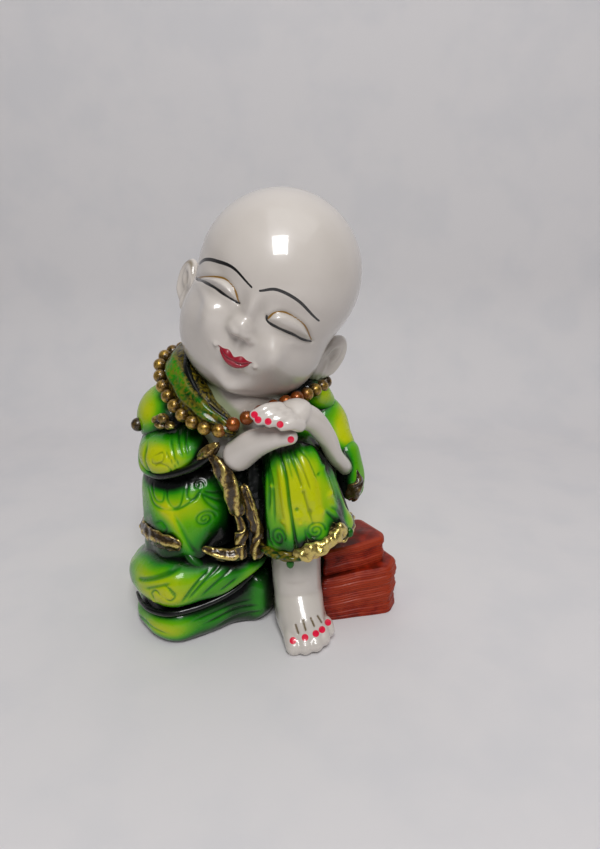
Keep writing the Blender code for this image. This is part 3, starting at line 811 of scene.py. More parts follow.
@dataclass(frozen=True)
class Robe:
    """Robe round the body, the white chest above it and the rolled collar."""

    stations: tuple = (
        (88.0, -6.0, 3.0, 13.0, 10.0, 11.0), (82.0, -7.0, 4.0, 20.0, 13.0, 15.0),
        (74.0, -8.0, 5.0, 28.0, 16.0, 20.0), (62.0, -8.0, 6.0, 31.0, 18.0, 23.0),
        (46.0, -7.5, 7.0, 31.0, 19.0, 27.0), (28.0, -6.5, 8.0, 34.0, 20.0, 31.0),
        (10.0, -6.0, 8.0, 38.0, 20.0, 34.4), (0.0, -6.0, 8.0, 37.2, 20.0, 33.6),
    )
    back_folds: int = 7
    fold_depth: float = 1.1
    collar_roll: Tube = Tube(
        ((-10.0, -24.0, 76.6), (-17.5, -19.5, 80.5), (-23.5, -12.5, 85.6), (-27.0, -3.0, 91.0),
         (-24.0, 8.0, 93.0), (-13.0, 16.0, 91.0), (2.0, 18.0, 87.0), (12.0, 11.0, 84.5), (17.0, 2.0, 83.0)),
        (3.2, 4.8, 6.0, 6.4, 5.8, 5.0, 4.4, 4.0, 3.6), 64, 20)
    collar_lip: Tube = Tube(
        ((-9.6, -25.0, 79.0), (-15.6, -22.0, 82.4), (-20.6, -17.6, 87.0), (-24.4, -12.0, 93.0),
         (-25.4, -5.0, 97.0)),
        (0.9, 1.2, 1.3, 1.2, 0.9), 20)
    neck: Tube = Tube(((-8.0, -5.0, 70.0), (-7.4, -5.0, 79.0), (-5.0, -3.6, 89.0), (-3.0, -3.0, 98.0)),
                      (16.5, 15.6, 13.4, 12.5), 96)
    collar_shade: float = -1.3
    gold_flecks: float = 0.75

    def body(self) -> Piece:
        """Robe of the body: long folds run down the back and die out in front."""
        columns = 240
        rings = oval_rings(self.stations, 13, columns)
        angle = round_about(columns)
        fall = way_down(rings)
        behind = ease(np.sin(angle), 0.0, 0.4)
        sway = angle + 0.10 * np.sin(3.0 * fall * math.pi + angle)
        wave = np.cos(2 * self.back_folds * sway)
        wave -= 0.35 * np.cos(4 * self.back_folds * sway)
        swell = self.fold_depth * (0.25 + 0.75 * fall) * behind * wave
        marks = (Curl((-22.0, 22.0), 3.4), Curl((12.0, 20.0), 3.4), Curl((-6.0, 30.0), 2.8),
                 Stroke(((-34.0, 9.0), (-20.0, 7.0), (-6.0, 6.4), (8.0, 7.0), (24.0, 9.0)), 0.6, -0.5))
        return engraved("robe_body", Coat.ROBE, rings, back_marks=marks, swell=swell)

    def chest(self) -> Piece:
        """White neck and chest between the collar and the chin."""
        return close_rings("neck_and_chest", Coat.SKIN, self.neck.rings())

    def collar(self) -> list[Piece]:
        """Thick rolled collar with a fine rib along it, and its dark glossy inner lip."""
        rings = self.collar_roll.rings()
        turn = round_about(self.collar_roll.columns)
        row = way_down(rings)
        swell = 0.25 * np.sin(9.0 * turn + 4.0 * row) + 0.2 * np.sin(60.0 * row + 2.0 * turn)
        roll = engraved("collar", Coat.ROBE, rings, swell=swell, tint=self.collar_shade,
                        glows=(Glow((-28.0, 93.0), (5.0, 4.0), 1.0),))
        roll.values["gold"] = np.full(len(roll.points), self.gold_flecks)
        lip = close_rings("collar_lip", Coat.ROBE, self.collar_lip.rings())
        lip.values = {"line": np.zeros(len(lip.points)), "glow": np.full(len(lip.points), BLACKENED)}
        return [roll, lip]

    def build(self) -> list[Piece]:
        """Body, chest and collar."""
        return [self.body(), self.chest(), *self.collar()]


@dataclass(frozen=True)
class RightSleeve:
    """Wide sleeve that hangs from the right arm, the short cape over it and their trims."""

    stations: tuple = (
        (62.0, -28.0, -2.0, 12.0, 12.0), (56.0, -26.6, -4.0, 17.2, 19.0), (49.0, -25.6, -5.0, 18.6, 22.0),
        (40.0, -25.4, -6.0, 18.6, 23.4), (34.0, -25.6, -6.5, 18.4, 23.6), (30.0, -26.0, -7.0, 18.2, 23.2),
    )
    tilt: float = 0.2
    folds: int = 9
    fold_depth: float = 0.5
    marks: tuple = (
        Stroke(((-37.5, 54.0), (-37.2, 51.1), (-35.6, 49.4), (-33.5, 49.9), (-32.8, 53.0))),
        Stroke(((-31.8, 55.0), (-31.7, 50.8), (-29.4, 48.5), (-26.9, 50.0), (-25.8, 54.6))),
        Stroke(((-24.6, 56.0), (-24.5, 52.4), (-22.1, 51.5), (-19.7, 54.6))),
        Curl((-20.8, 55.6), 1.8, 1.2),
        Curl((-18.8, 44.8), 3.5, 1.9, 0.75),
        Stroke(((-39.4, 52.4), (-36.5, 47.8), (-28.9, 48.0), (-22.7, 51.3), (-20.6, 54.0)), 0.5, -0.45),
        Stroke(((-20.0, 53.2), (-16.1, 50.7), (-11.4, 47.8)), 0.5, -0.5),
        Stroke(((-19.3, 53.8), (-15.6, 52.5), (-11.2, 52.0)), 0.5, -0.45),
        Stroke(((-20.0, 53.0), (-18.0, 49.9), (-13.7, 45.7)), 0.5, -0.35),
        Stroke(((-36.4, 41.6), (-34.0, 43.2), (-32.0, 41.2), (-33.4, 38.8)), 0.4, -0.3),
        Stroke(((-34.0, 48.6), (-31.2, 46.4), (-28.0, 41.4), (-25.6, 36.0), (-24.0, 30.0)), 2.6, 0.6),
        Stroke(((-29.4, 46.6), (-26.6, 41.8), (-24.0, 36.6), (-21.6, 33.0)), 0.8, -0.45),
    )
    glows: tuple = (
        Glow((-33.0, 47.6), (8.0, 4.4), 0.6), Glow((-24.0, 50.0), (6.0, 4.0), 0.3),
        Glow((-28.6, 40.0), (3.0, 9.0), 0.3), Glow((-20.0, 46.0), (9.0, 9.0), -0.15),
        Glow((-17.0, 46.0), (6.0, 5.0), 0.35), Glow((-15.0, 38.0), (8.0, 5.0), -0.3),
        # The pass at (-36, 55) and the one after it are a dark band under the cape's rim: the cape's
        # painted shadow on the sleeve.
        Glow((-38.0, 40.0), (4.0, 6.0), -0.5), Glow((-36.0, 55.0), (8.0, 2.4), -1.2),
        Glow((-23.0, 58.4), (8.0, 2.6), -1.3, 0.25),
    )
    hem_path: Path = (
        (-43.9, 0.0, 31.2), (-44.0, -9.4, 33.2), (-42.0, -17.3, 34.8), (-37.0, -25.0, 36.3),
        (-31.6, -29.3, 36.8), (-28.0, -30.5, 36.6),
    )
    hem_right_path: Path = (
        (-18.6, -30.2, 34.8), (-16.4, -30.8, 34.2), (-12.4, -31.2, 33.2), (-8.0, -30.6, 33.4),
        (-6.6, -29.8, 36.0),
    )
    tip_path: Path = ((-19.4, -25.0, 66.6), (-16.6, -25.8, 68.6), (-14.0, -26.0, 71.0))
    cape_rim: Tube = Tube(
        ((-41.6, 3.0, 70.0), (-42.8, -1.0, 65.0), (-43.0, -6.0, 61.0), (-40.6, -14.0, 58.2),
         (-34.6, -20.6, 58.2), (-28.0, -24.2, 60.4), (-21.4, -25.8, 63.6), (-15.6, -26.2, 67.6)),
        (0.9, 1.4, 1.9, 2.1, 1.7, 1.3, 1.2, 0.9), 28)
    shoulder_glows: tuple = (Glow((-39.0, 74.0), (5.0, 9.0), 0.5),)
    cape_glows: tuple = (
        Glow((-34.0, 64.0), (5.0, 5.0), 0.9), Glow((-25.0, 64.0), (8.0, 3.0), 0.3),
        # Dark band along the cape's lower edge: painted shade.
        Glow((-26.0, 57.6), (14.0, 2.6), -1.2, 0.3),
    )
    rim_glows: tuple = (Glow((-42.0, 62.0), (3.4, 7.0), 2.9), Glow((-37.0, 58.6), (4.0, 3.0), 1.0))
    knot: tuple[tuple[Point, Point], ...] = (
        ((-35.2, -13.8, 75.8), (2.1, 2.0, 1.6)), ((-32.8, -15.8, 76.6), (2.1, 2.0, 2.2)),
        ((-30.4, -17.2, 74.8), (1.8, 1.8, 1.5)), ((-33.2, -16.0, 74.6), (3.0, 1.8, 1.2)),
    )
    cape_marks: tuple = (
        Stroke(((-36.6, 65.3), (-32.5, 67.4), (-32.4, 64.7), (-35.9, 63.2), (-36.6, 65.3)), 0.4, -0.4),
        Stroke(((-35.6, 62.0), (-33.8, 63.6), (-30.8, 63.0), (-29.8, 60.4), (-31.4, 58.4)), 0.4, -0.45),
        Stroke(((-31.4, 68.2), (-29.4, 65.0), (-27.9, 62.3)), 0.4, -0.45),
        Stroke(((-29.9, 71.0), (-28.4, 67.0), (-26.8, 63.2)), 0.45, -0.5),
        Stroke(((-28.0, 73.2), (-26.8, 69.6), (-25.4, 66.0)), 0.4, -0.45),
        Stroke(((-25.2, 73.0), (-24.6, 70.0), (-23.6, 66.4)), 0.4, -0.4),
        Stroke(((-28.6, 61.6), (-25.0, 62.0), (-21.0, 64.6)), 0.4, -0.4),
        Stroke(((-27.0, 59.6), (-22.6, 61.2), (-18.6, 64.4)), 0.4, -0.35),
        Stroke(((-38.8, 68.0), (-39.4, 63.4), (-37.8, 58.6)), 0.6, -0.55),
    )

    def sleeve(self) -> Piece:
        """Hanging barrel of cloth: folds are waves round it that grow towards the hem."""
        columns = 280
        rings = oval_rings(self.stations, 20, columns, self.tilt)
        angle = round_about(columns)
        fall = way_down(rings)
        swell = self.fold_depth * fall * np.cos(self.folds * angle + 0.8 * np.sin(5.0 * fall))
        return engraved("right_sleeve", Coat.ROBE, rings, self.marks, swell=swell, glows=self.glows)

    def cape(self) -> list[Piece]:
        """Shoulder, short cape and the rolled rim along its edge."""
        shoulder = ball_rings((-32.5, 3.0, 71.5), (13.8, 15.0, 13.0), rows=60, columns=90)
        flap = ball_rings((-28.4, -4.4, 64.0), (16.0, 20.4, 9.6), (0.0, -0.22, 0.0), 96, 200, 2.2)
        rim = self.cape_rim.rings()
        return [engraved("right_shoulder", Coat.ROBE, shoulder, glows=self.shoulder_glows),
                engraved("sleeve_cape", Coat.ROBE, flap, self.cape_marks, glows=self.cape_glows),
                # The rim is darkened all along as painted shade under the cape's edge.
                engraved("cape_rim", Coat.ROBE, rim, tint=-2.4, glows=self.rim_glows)]

    def trims(self) -> list[Piece]:
        """Gilded hems, the round knob at the back of the arm and the knot on the shoulder."""
        hem = gilded_band("sleeve_hem", self.hem_path, (1.1, 1.3, 1.3, 1.3, 1.2, 1.0), 2.2, rough=0.25)
        right = gilded_band("sleeve_hem_front", self.hem_right_path, (1.1, 1.6, 2.1, 2.2, 1.4))
        tip = gilded_band("cape_tip", self.tip_path, (1.3, 2.2, 1.2))
        tip.values["ridge"] = np.full(len(tip.points), 0.2)
        knob = close_rings("arm_knob", Coat.GILT, ball_rings((-44.6, -4.6, 70.6), (2.5, 2.5, 2.5)))
        knob.values["ridge"] = np.full(len(knob.points), -0.6)
        lumps = []
        for seed, (place, size) in enumerate(self.knot):
            lump = crumple(ball_rings(place, size, rows=28, columns=40), 0.35, seed)
            lumps.append(close_rings("lump", Coat.GILT, lump))
        return [hem, right, tip, knob, join_pieces("shoulder_knot", lumps)]

    def build(self) -> list[Piece]:
        """Sleeve, cape and trims."""
        return [self.sleeve(), *self.cape(), *self.trims()]


def crumple(rings: Array, height: float, seed: int) -> Array:
    """Roughen a grid with a few sine waves of unlike direction, as hand-dabbed resin looks.

    Args:
        rings: Grid of the form.
        height: Greatest rise, in millimetres.
        seed: Picks the waves.

    Returns:
        The rough grid.
    """
    waves = np.random.default_rng(seed + 11)
    total = np.zeros(rings.shape[:2])
    for _ in range(7):
        direction = waves.normal(size=3)
        direction *= waves.uniform(1.1, 2.8) / np.linalg.norm(direction)
        total += np.sin(rings @ direction + waves.uniform(0.0, 6.0))
    return raise_relief(rings, height * total / 4.0)


def gilded_band(name: str, path: Path, radii: tuple[float, ...], flat: float = 1.0, twist: float = 0.0,
                coat: Coat = Coat.GILT, rough: float = 0.1, tint: float = 0.0) -> Piece:
    """Pleated trim swept along a path: four ridges run lengthwise, a few dents across.

    Args:
        name: Name of the piece.
        path: Middle line of the trim.
        radii: Radius at each of its points.
        flat: Height of the section over its width.
        twist: Angle that the pleats turn with each millimetre.
        coat: Its paint.
        rough: Height of the dabs on it.
        tint: Share of yellow where it is robe paint, or of dark where it is negative.

    Returns:
        The closed piece, with the height of its ridges for the paint.
    """
    columns = 44
    rings = Tube(path, radii, columns, 26, flat).rings()
    step = np.linalg.norm(np.diff(rings.mean(axis=1), axis=0), axis=1)
    row = np.concatenate([[0.0], np.cumsum(step)])[:, None]
    turn = round_about(columns)
    pleat = np.cos(4.0 * turn + 0.5 * np.sin(0.8 * row) + twist * row)
    dent = np.cos(1.3 * row + 2.0 * turn)
    rough_rings = crumple(raise_relief(rings, 0.24 * pleat + 0.12 * dent), rough, len(name))
    values = {"ridge": pleat, "glow": np.full(pleat.shape, tint), "gold": np.full(pleat.shape, 0.8)}
    return close_rings(name, coat, rough_rings, values)


@dataclass(frozen=True)
class Sash:
    """Gilded bands between the sleeve and the knee, over a recess darkened as painted shade."""

    front: Path = ((-15.6, -26.4, 67.2), (-12.6, -28.8, 64.8), (-9.6, -30.6, 58.6), (-7.2, -31.6, 50.0))
    front_radii: tuple[float, ...] = (0.9, 2.0, 2.2, 1.7)
    inner: Path = ((-5.0, -29.0, 57.0), (-2.6, -30.0, 49.0), (-0.8, -30.8, 41.0), (-1.2, -31.8, 34.4))
    inner_radii: tuple[float, ...] = (1.3, 1.6, 1.6, 2.0)
    edge: Path = ((-7.4, -30.2, 48.0), (-6.0, -31.2, 43.0), (-6.8, -31.4, 38.0), (-6.4, -31.0, 33.0))
    edge_radii: tuple[float, ...] = (0.8, 1.4, 1.5, 1.4)
    strand: Path = ((-3.6, -30.0, 56.0), (-1.4, -31.0, 48.0), (0.4, -31.4, 40.0))

    def build(self) -> list[Piece]:
        """Three bands, a thin strand and the form behind them, darkened as painted shade."""
        recess = ball_rings((-3.0, -21.0, 45.0), (7.0, 8.4, 21.0), rows=60, columns=80)
        return [gilded_band("sash_front", self.front, self.front_radii, 1.5, 0.55),
                gilded_band("sash_inner", self.inner, self.inner_radii, 1.35, 0.2),
                gilded_band("sleeve_edge", self.edge, self.edge_radii, 1.35, 0.1),
                gilded_band("sash_strand", self.strand, (0.6, 0.8, 0.5)),
                # Form in the recess behind the bands, darkened as painted shade.
                engraved("sash_recess", Coat.ROBE, crumple(recess, 0.3, 3), tint=-1.0)]


@dataclass(frozen=True)
class Knee:
    """Raised left knee under its drape, with a gilded hem."""

    stations: tuple = (
        (72.4, 10.8, -17.0, 3.4, 4.0), (71.4, 10.9, -17.5, 6.0, 7.6), (68.5, 11.2, -18.5, 8.8, 11.4),
        (61.0, 12.0, -19.6, 11.9, 14.2), (52.0, 13.2, -20.5, 13.9, 15.4), (44.0, 14.6, -21.0, 15.2, 15.9),
        (38.0, 15.2, -21.5, 16.2, 16.4), (35.6, 15.3, -21.5, 16.2, 16.4), (34.8, 15.3, -21.5, 13.0, 13.2),
    )
    squareness: float = 2.3
    folds: int = 11
    fold_depth: float = 0.35
    hem_rise: float = 0.24
    marks: tuple = (
        Stroke(((6.8, 69.6), (8.9, 63.1), (10.1, 53.7), (12.0, 41.6), (12.8, 37.0)), 0.6, -1.0),
        Stroke(((5.6, 68.6), (7.4, 61.0), (8.6, 52.0), (10.2, 42.0)), 1.0, 0.45),
        Stroke(((1.8, 66.6), (3.4, 61.0), (3.4, 50.4)), 0.55, -0.5),
        Stroke(((2.8, 67.4), (4.4, 59.9), (5.0, 46.6)), 0.5, -0.45),
        Stroke(((0.0, 64.0), (1.4, 54.0), (1.6, 43.0)), 0.6, -0.5),
        Stroke(((9.6, 71.0), (13.0, 63.0), (15.2, 56.0), (17.7, 47.5)), 0.5, -0.5),
        Stroke(((10.8, 71.0), (14.4, 65.0), (17.1, 58.0)), 0.45, -0.4),
        Stroke(((12.2, 71.2), (16.2, 67.4), (19.4, 61.0)), 0.45, -0.35),
        Stroke(((8.6, 70.4), (11.2, 62.0)), 0.4, -0.3),
        Dot((14.4, 59.4)), Dot((13.2, 50.1), 0.9), Dot((13.5, 48.0), 0.6, 0.45),
        Dot((20.6, 51.1), 0.8, 0.45), Dot((7.9, 48.3), 0.7), Dot((4.1, 59.2), 0.6),
        Dot((23.2, 55.8), 0.75, 0.7), Dot((21.2, 63.9), 0.7, 0.5), Dot((12.4, 52.7), 0.7, -0.6),
        Dot((16.8, 52.0), 0.8, -0.45), Dot((14.4, 58.2), 0.5, -0.4), Dot((19.6, 62.8), 0.5, -0.4),
        Dot((17.0, 55.4), 0.8, 0.3),
        Curl((18.5, 45.4), 3.2, 1.9, 0.95), Curl((6.2, 42.2), 2.5, 1.6, 1.35),
        Stroke(((22.0, 51.2), (24.2, 48.5), (26.0, 46.2)), 0.5, -0.45),
        Stroke(((23.4, 52.0), (25.6, 49.6), (26.8, 47.4)), 0.5, -0.35),
        Stroke(((15.0, 46.6), (15.6, 43.0), (17.0, 40.6)), 0.4, -0.4),
        Stroke(((3.0, 44.6), (3.2, 41.0), (4.6, 38.6)), 0.4, -0.35),
    )
    glows: tuple = (
        Glow((15.5, 58.0), (5.6, 10.0), 1.2), Glow((17.0, 50.0), (6.0, 6.0), 0.6),
        Glow((5.6, 52.0), (2.2, 12.0), 0.5), Glow((15.0, 40.0), (16.0, 3.4), -0.9),
        # The dark pass at (8, 70.5), under the forearms, is their painted shadow on the knee.
        Glow((8.0, 70.5), (8.0, 2.4), -0.5), Glow((-0.4, 52.0), (2.0, 16.0), -0.7),
        Glow((25.0, 46.0), (3.0, 5.0), -0.6), Glow((27.6, 52.0), (2.0, 14.0), -1.6),
        Glow((22.6, 66.0), (2.6, 5.0), -1.6),
    )
    hem: Tube = Tube(
        ((12.6, -38.2, 37.4), (16.0, -38.6, 38.6), (20.4, -37.4, 39.8), (24.0, -35.2, 41.8),
         (26.8, -32.8, 43.8)),
        (1.5, 2.3, 2.0, 1.8, 2.2), 44, 26, 1.3)
    hem_left_path: Path = ((-0.6, -30.6, 37.0), (3.0, -34.6, 36.6), (8.0, -37.4, 36.4), (13.0, -38.4, 36.8))
    thigh: Tube = Tube(((12.0, -14.0, 54.0), (11.0, -2.0, 46.0), (8.0, 10.0, 34.0)), (14.5, 15.5, 17.0),
                       90, 24)
    side_rim: Tube = Tube(
        ((11.0, -24.0, 71.6), (17.0, -23.6, 69.0), (21.4, -22.0, 63.0), (24.6, -21.0, 55.0),
         (28.2, -20.6, 46.0), (30.0, -20.6, 41.0)),
        (0.8, 1.5, 1.7, 1.9, 1.7, 1.4), 24, 16)
    drops: Path = ((10.2, -37.6, 33.9), (30.0, -31.0, 41.7))
    drop_size: Point = (1.3, 1.2, 1.8)
    hem_side_path: Path = ((27.6, -31.6, 40.0), (30.2, -26.0, 40.6), (31.2, -18.0, 40.6))

    def drape(self) -> Piece:
        """Cloth over the knee: shallow pleats that grow downwards, under the engraved marks."""
        columns = 280
        rings = oval_rings(self.stations, 17, columns, squareness=self.squareness)
        angle = round_about(columns)
        fall = way_down(rings)
        swell = self.fold_depth * np.sin(math.pi * fall) * np.cos(self.folds * angle + 1.0)
        low = ease(-rings[..., 2], -48.0, -35.0)
        rings[..., 2] += self.hem_rise * np.maximum(rings[..., 0] - 9.0, 0.0) * low
        return engraved("knee_drape", Coat.ROBE, rings, self.marks, swell=swell, glows=self.glows)

    def build(self) -> list[Piece]:
        """Drape, the thigh behind it, its dark side rim and its hems."""
        thigh = engraved("thigh_cloth", Coat.ROBE, self.thigh.rings())
        dark_rim = engraved("knee_side_rim", Coat.ROBE, self.side_rim.rings(), tint=BLACKENED)
        splash = crumple(crumple(self.hem.rings(), 0.5, 4), 0.2, 9)
        bright = close_rings("knee_hem", Coat.GILT, splash, {"ridge": np.full(splash.shape[:2], 1.5)})
        drops = [engraved("drop", Coat.ROBE, ball_rings(place, self.drop_size), tint=-1.4)
                 for place in self.drops]
        left = gilded_band("knee_hem_left", self.hem_left_path, (1.2, 1.3, 1.4, 1.5), coat=Coat.ROBE,
                           rough=0.3, tint=-1.7)
        side = gilded_band("knee_hem_side", self.hem_side_path, (1.6, 1.7, 1.3), rough=0.3)
        return [self.drape(), thigh, dark_rim, bright, join_pieces("paint_drops", drops), left, side]


@dataclass(frozen=True)
class FoldedLeg:
    """Right leg folded flat: a fat upper roll of cloth over a flat lower one."""

    upper: tuple = (
        (-50.2, -14.0, 8.0, 27.0), (-48.2, -21.4, 8.4, 30.0), (-44.2, -28.4, 8.8, 32.0),
        (-38.6, -34.4, 9.4, 33.0), (-31.6, -37.8, 10.0, 33.6), (-23.6, -37.0, 10.8, 33.6),
        (-15.6, -34.0, 12.2, 33.0), (-8.4, -31.2, 15.4, 32.0), (-2.4, -28.2, 20.2, 31.0),
        (2.0, -20.0, 23.0, 31.0), (0.0, -4.0, 18.0, 32.0), (-12.0, 6.0, 14.0, 32.0),
        (-28.0, 8.0, 12.0, 30.0), (-42.0, 2.0, 10.0, 27.0), (-48.6, -6.0, 9.0, 26.0),
    )
    lower: tuple = (
        (-47.6, -17.0, -4.0, 12.0), (-46.0, -23.6, -4.0, 13.0), (-42.4, -29.0, -4.0, 14.0),
        (-38.0, -34.2, -4.0, 15.0), (-32.4, -36.8, -4.0, 15.6), (-26.4, -36.2, -4.0, 16.0),
        (-20.2, -33.2, -4.0, 16.8), (-15.0, -29.4, -4.0, 17.6), (-10.6, -26.8, -4.0, 19.0),
        (-5.0, -25.4, -4.0, 22.0), (1.0, -24.4, -4.0, 25.0), (5.0, -18.0, -4.0, 25.0),
        (3.0, -4.0, -4.0, 22.0), (-8.0, 6.0, -4.0, 18.0), (-24.0, 9.0, -4.0, 15.0),
        (-38.0, 4.0, -4.0, 13.0), (-45.6, -6.0, -4.0, 12.0),
    )
    squareness: float = 2.5
    upper_marks: tuple = (
        Stroke(((-43.0, 22.6), (-40.1, 24.3), (-34.1, 27.2), (-27.4, 29.6)), 0.8, -0.7),
        Stroke(((-40.0, 21.0), (-35.0, 24.0), (-29.4, 26.2)), 0.7, -0.4),
        Stroke(((-26.6, 18.6), (-21.7, 24.8), (-17.5, 28.2)), 0.6, -0.65),
        Stroke(((-24.4, 19.4), (-18.7, 25.4), (-13.5, 29.0)), 0.6, -0.55),
        Stroke(((-20.0, 19.6), (-14.7, 24.4), (-9.5, 28.0)), 0.6, -0.4),
        Stroke(((-32.0, 25.4), (-29.6, 23.6), (-28.4, 21.6), (-30.2, 19.4), (-32.4, 20.4)), 0.4, -0.5),
        Stroke(((-30.6, 24.4), (-28.8, 21.4)), 0.4, -0.4),
        Stroke(((-36.3, 17.6), (-37.2, 20.6), (-35.4, 22.4), (-33.6, 20.8)), 0.4, -0.5),
        Dot((-36.8, 17.2), 0.9, 0.4),
        Stroke(((-14.0, 20.4), (-8.4, 24.0)), 0.6, -0.4),
    )
    lower_marks: tuple = (
        Stroke(((-46.0, 4.0), (-40.0, 5.6), (-32.0, 5.2)), 0.6, -0.3),
        Stroke(((-20.0, 6.4), (-10.0, 8.0), (-2.0, 8.6)), 0.6, -0.4),
        Stroke(((-16.0, 3.6), (-8.0, 4.8), (0.0, 6.2)), 0.6, -0.4),
        Stroke(((-24.0, 9.0), (-12.0, 10.2), (-4.0, 11.0)), 0.5, -0.3),
    )
    fall: Tube = Tube(
        ((-25.4, -28.6, 33.0), (-22.8, -29.8, 29.6), (-18.6, -30.6, 26.4), (-14.6, -30.2, 24.0)),
        (1.6, 2.2, 2.0, 1.2), 36, 16)
    # Thin black roll in the crease between the two rolls: dark paint and painted shade there.
    crease: Tube = Tube(
        ((-46.4, -20.0, 10.6), (-43.4, -26.4, 11.2), (-38.6, -32.6, 12.2), (-31.6, -36.2, 13.2),
         (-24.0, -35.2, 14.2), (-16.0, -32.0, 15.6), (-9.0, -29.2, 18.4), (-3.4, -27.0, 22.6)),
        (0.5, 0.8, 1.0, 1.1, 1.0, 0.9, 0.8, 0.6), 24, 16)
    upper_glows: tuple = (
        Glow((-35.0, 20.0), (8.0, 4.4), 0.6, 0.1), Glow((-24.0, 21.0), (7.0, 4.0), 0.25, 0.3),
        Glow((-38.0, 26.0), (6.0, 3.0), 0.2), Glow((-47.6, 18.0), (3.4, 9.0), -0.9),
        Glow((-14.0, 22.0), (7.0, 6.0), -0.4, 0.5), Glow((-8.0, 26.0), (6.0, 5.0), -0.5, 0.3),
        Glow((-24.0, 30.4), (16.0, 2.4), -0.4),
    )
    lower_glows: tuple = (
        Glow((-36.0, 6.0), (9.0, 3.4), 0.55), Glow((-8.0, 11.0), (11.0, 9.0), -0.6, 0.1),
        Glow((-46.0, 8.0), (3.0, 9.0), -0.6),
    )

    def cushion(self, name: str, outline: tuple, marks: tuple, glows: tuple) -> Piece:
        """One roll of cloth with a light swell along it."""
        rings = cushion_rings(outline, 110, 280, self.squareness)
        swell = 0.25 * np.sin(0.35 * rings[..., 0] + 0.2 * rings[..., 1]) * (rings[..., 2] > 0.4)
        return engraved(name, Coat.ROBE, rings, marks, swell=swell, glows=glows)

    def build(self) -> list[Piece]:
        """Upper and lower roll, the cloth that falls from the sleeve on the upper one, and a black roll in
        the crease between them, partly painted shade.
        """
        return [self.cushion("leg_upper", self.upper, self.upper_marks, self.upper_glows),
                self.cushion("leg_lower", self.lower, self.lower_marks, self.lower_glows),
                engraved("leg_fold", Coat.ROBE, self.fall.rings(), tint=-0.1),
                # Black roll in the crease: painted shade between the rolls, with dark paint.
                engraved("leg_crease", Coat.ROBE, self.crease.rings(), tint=BLACKENED)]


def cut_along(points: Array, start: Point, end: Point, width: float,
              brush: Point = (0.0, 0.0, 0.0)) -> Array:
    """Depth from 0 to 1 of a cut between two places: a bell curve of the distance to it.

    Where a brush direction is given, the distance is measured across it, so that the cut lies on
    whatever surface the brush meets within 6 mm.
    """
    along = np.asarray(brush) / max(np.linalg.norm(brush), 1e-9)
    a, b = np.asarray(start), np.asarray(end)
    near = np.abs((points - a) @ along) < 6.0
    flat, a, b = (p - np.outer(p @ along, along).reshape(p.shape) for p in (points, a, b))
    t = np.clip((flat - a) @ (b - a) / ((b - a) @ (b - a)), 0.0, 1.0)[:, None]
    return bell(np.linalg.norm(flat - a - t * (b - a), axis=1), width) * near


def finger(root: Point, tip: Point, radii: tuple[float, ...], lift: Point) -> Array:
    """Rings of a finger or toe from its root to its tip, bent at the middle by the lift."""
    middle = tuple(0.5 * (a + b) + more for a, b, more in zip(root, tip, lift))
    return Tube((root, middle, tip), radii, 28, 8).rings()


def nail_field(points: Array, nails: Path, radius: float, brush: Point) -> Array:
    """How far inside the nearest painted nail each point lies, in millimetres.

    A nail is a round dab put on along the brush: only what lies within 3 mm of it takes paint.
    """
    along = np.asarray(brush) / np.linalg.norm(brush)
    inside = []
    for nail in nails:
        away = points - np.asarray(nail)
        depth = away @ along
        aside = np.linalg.norm(away - depth[:, None] * along, axis=1)
        inside.append(np.where(np.abs(depth) < 3.0, radius - aside, -9.0))
    return np.max(inside, axis=0)


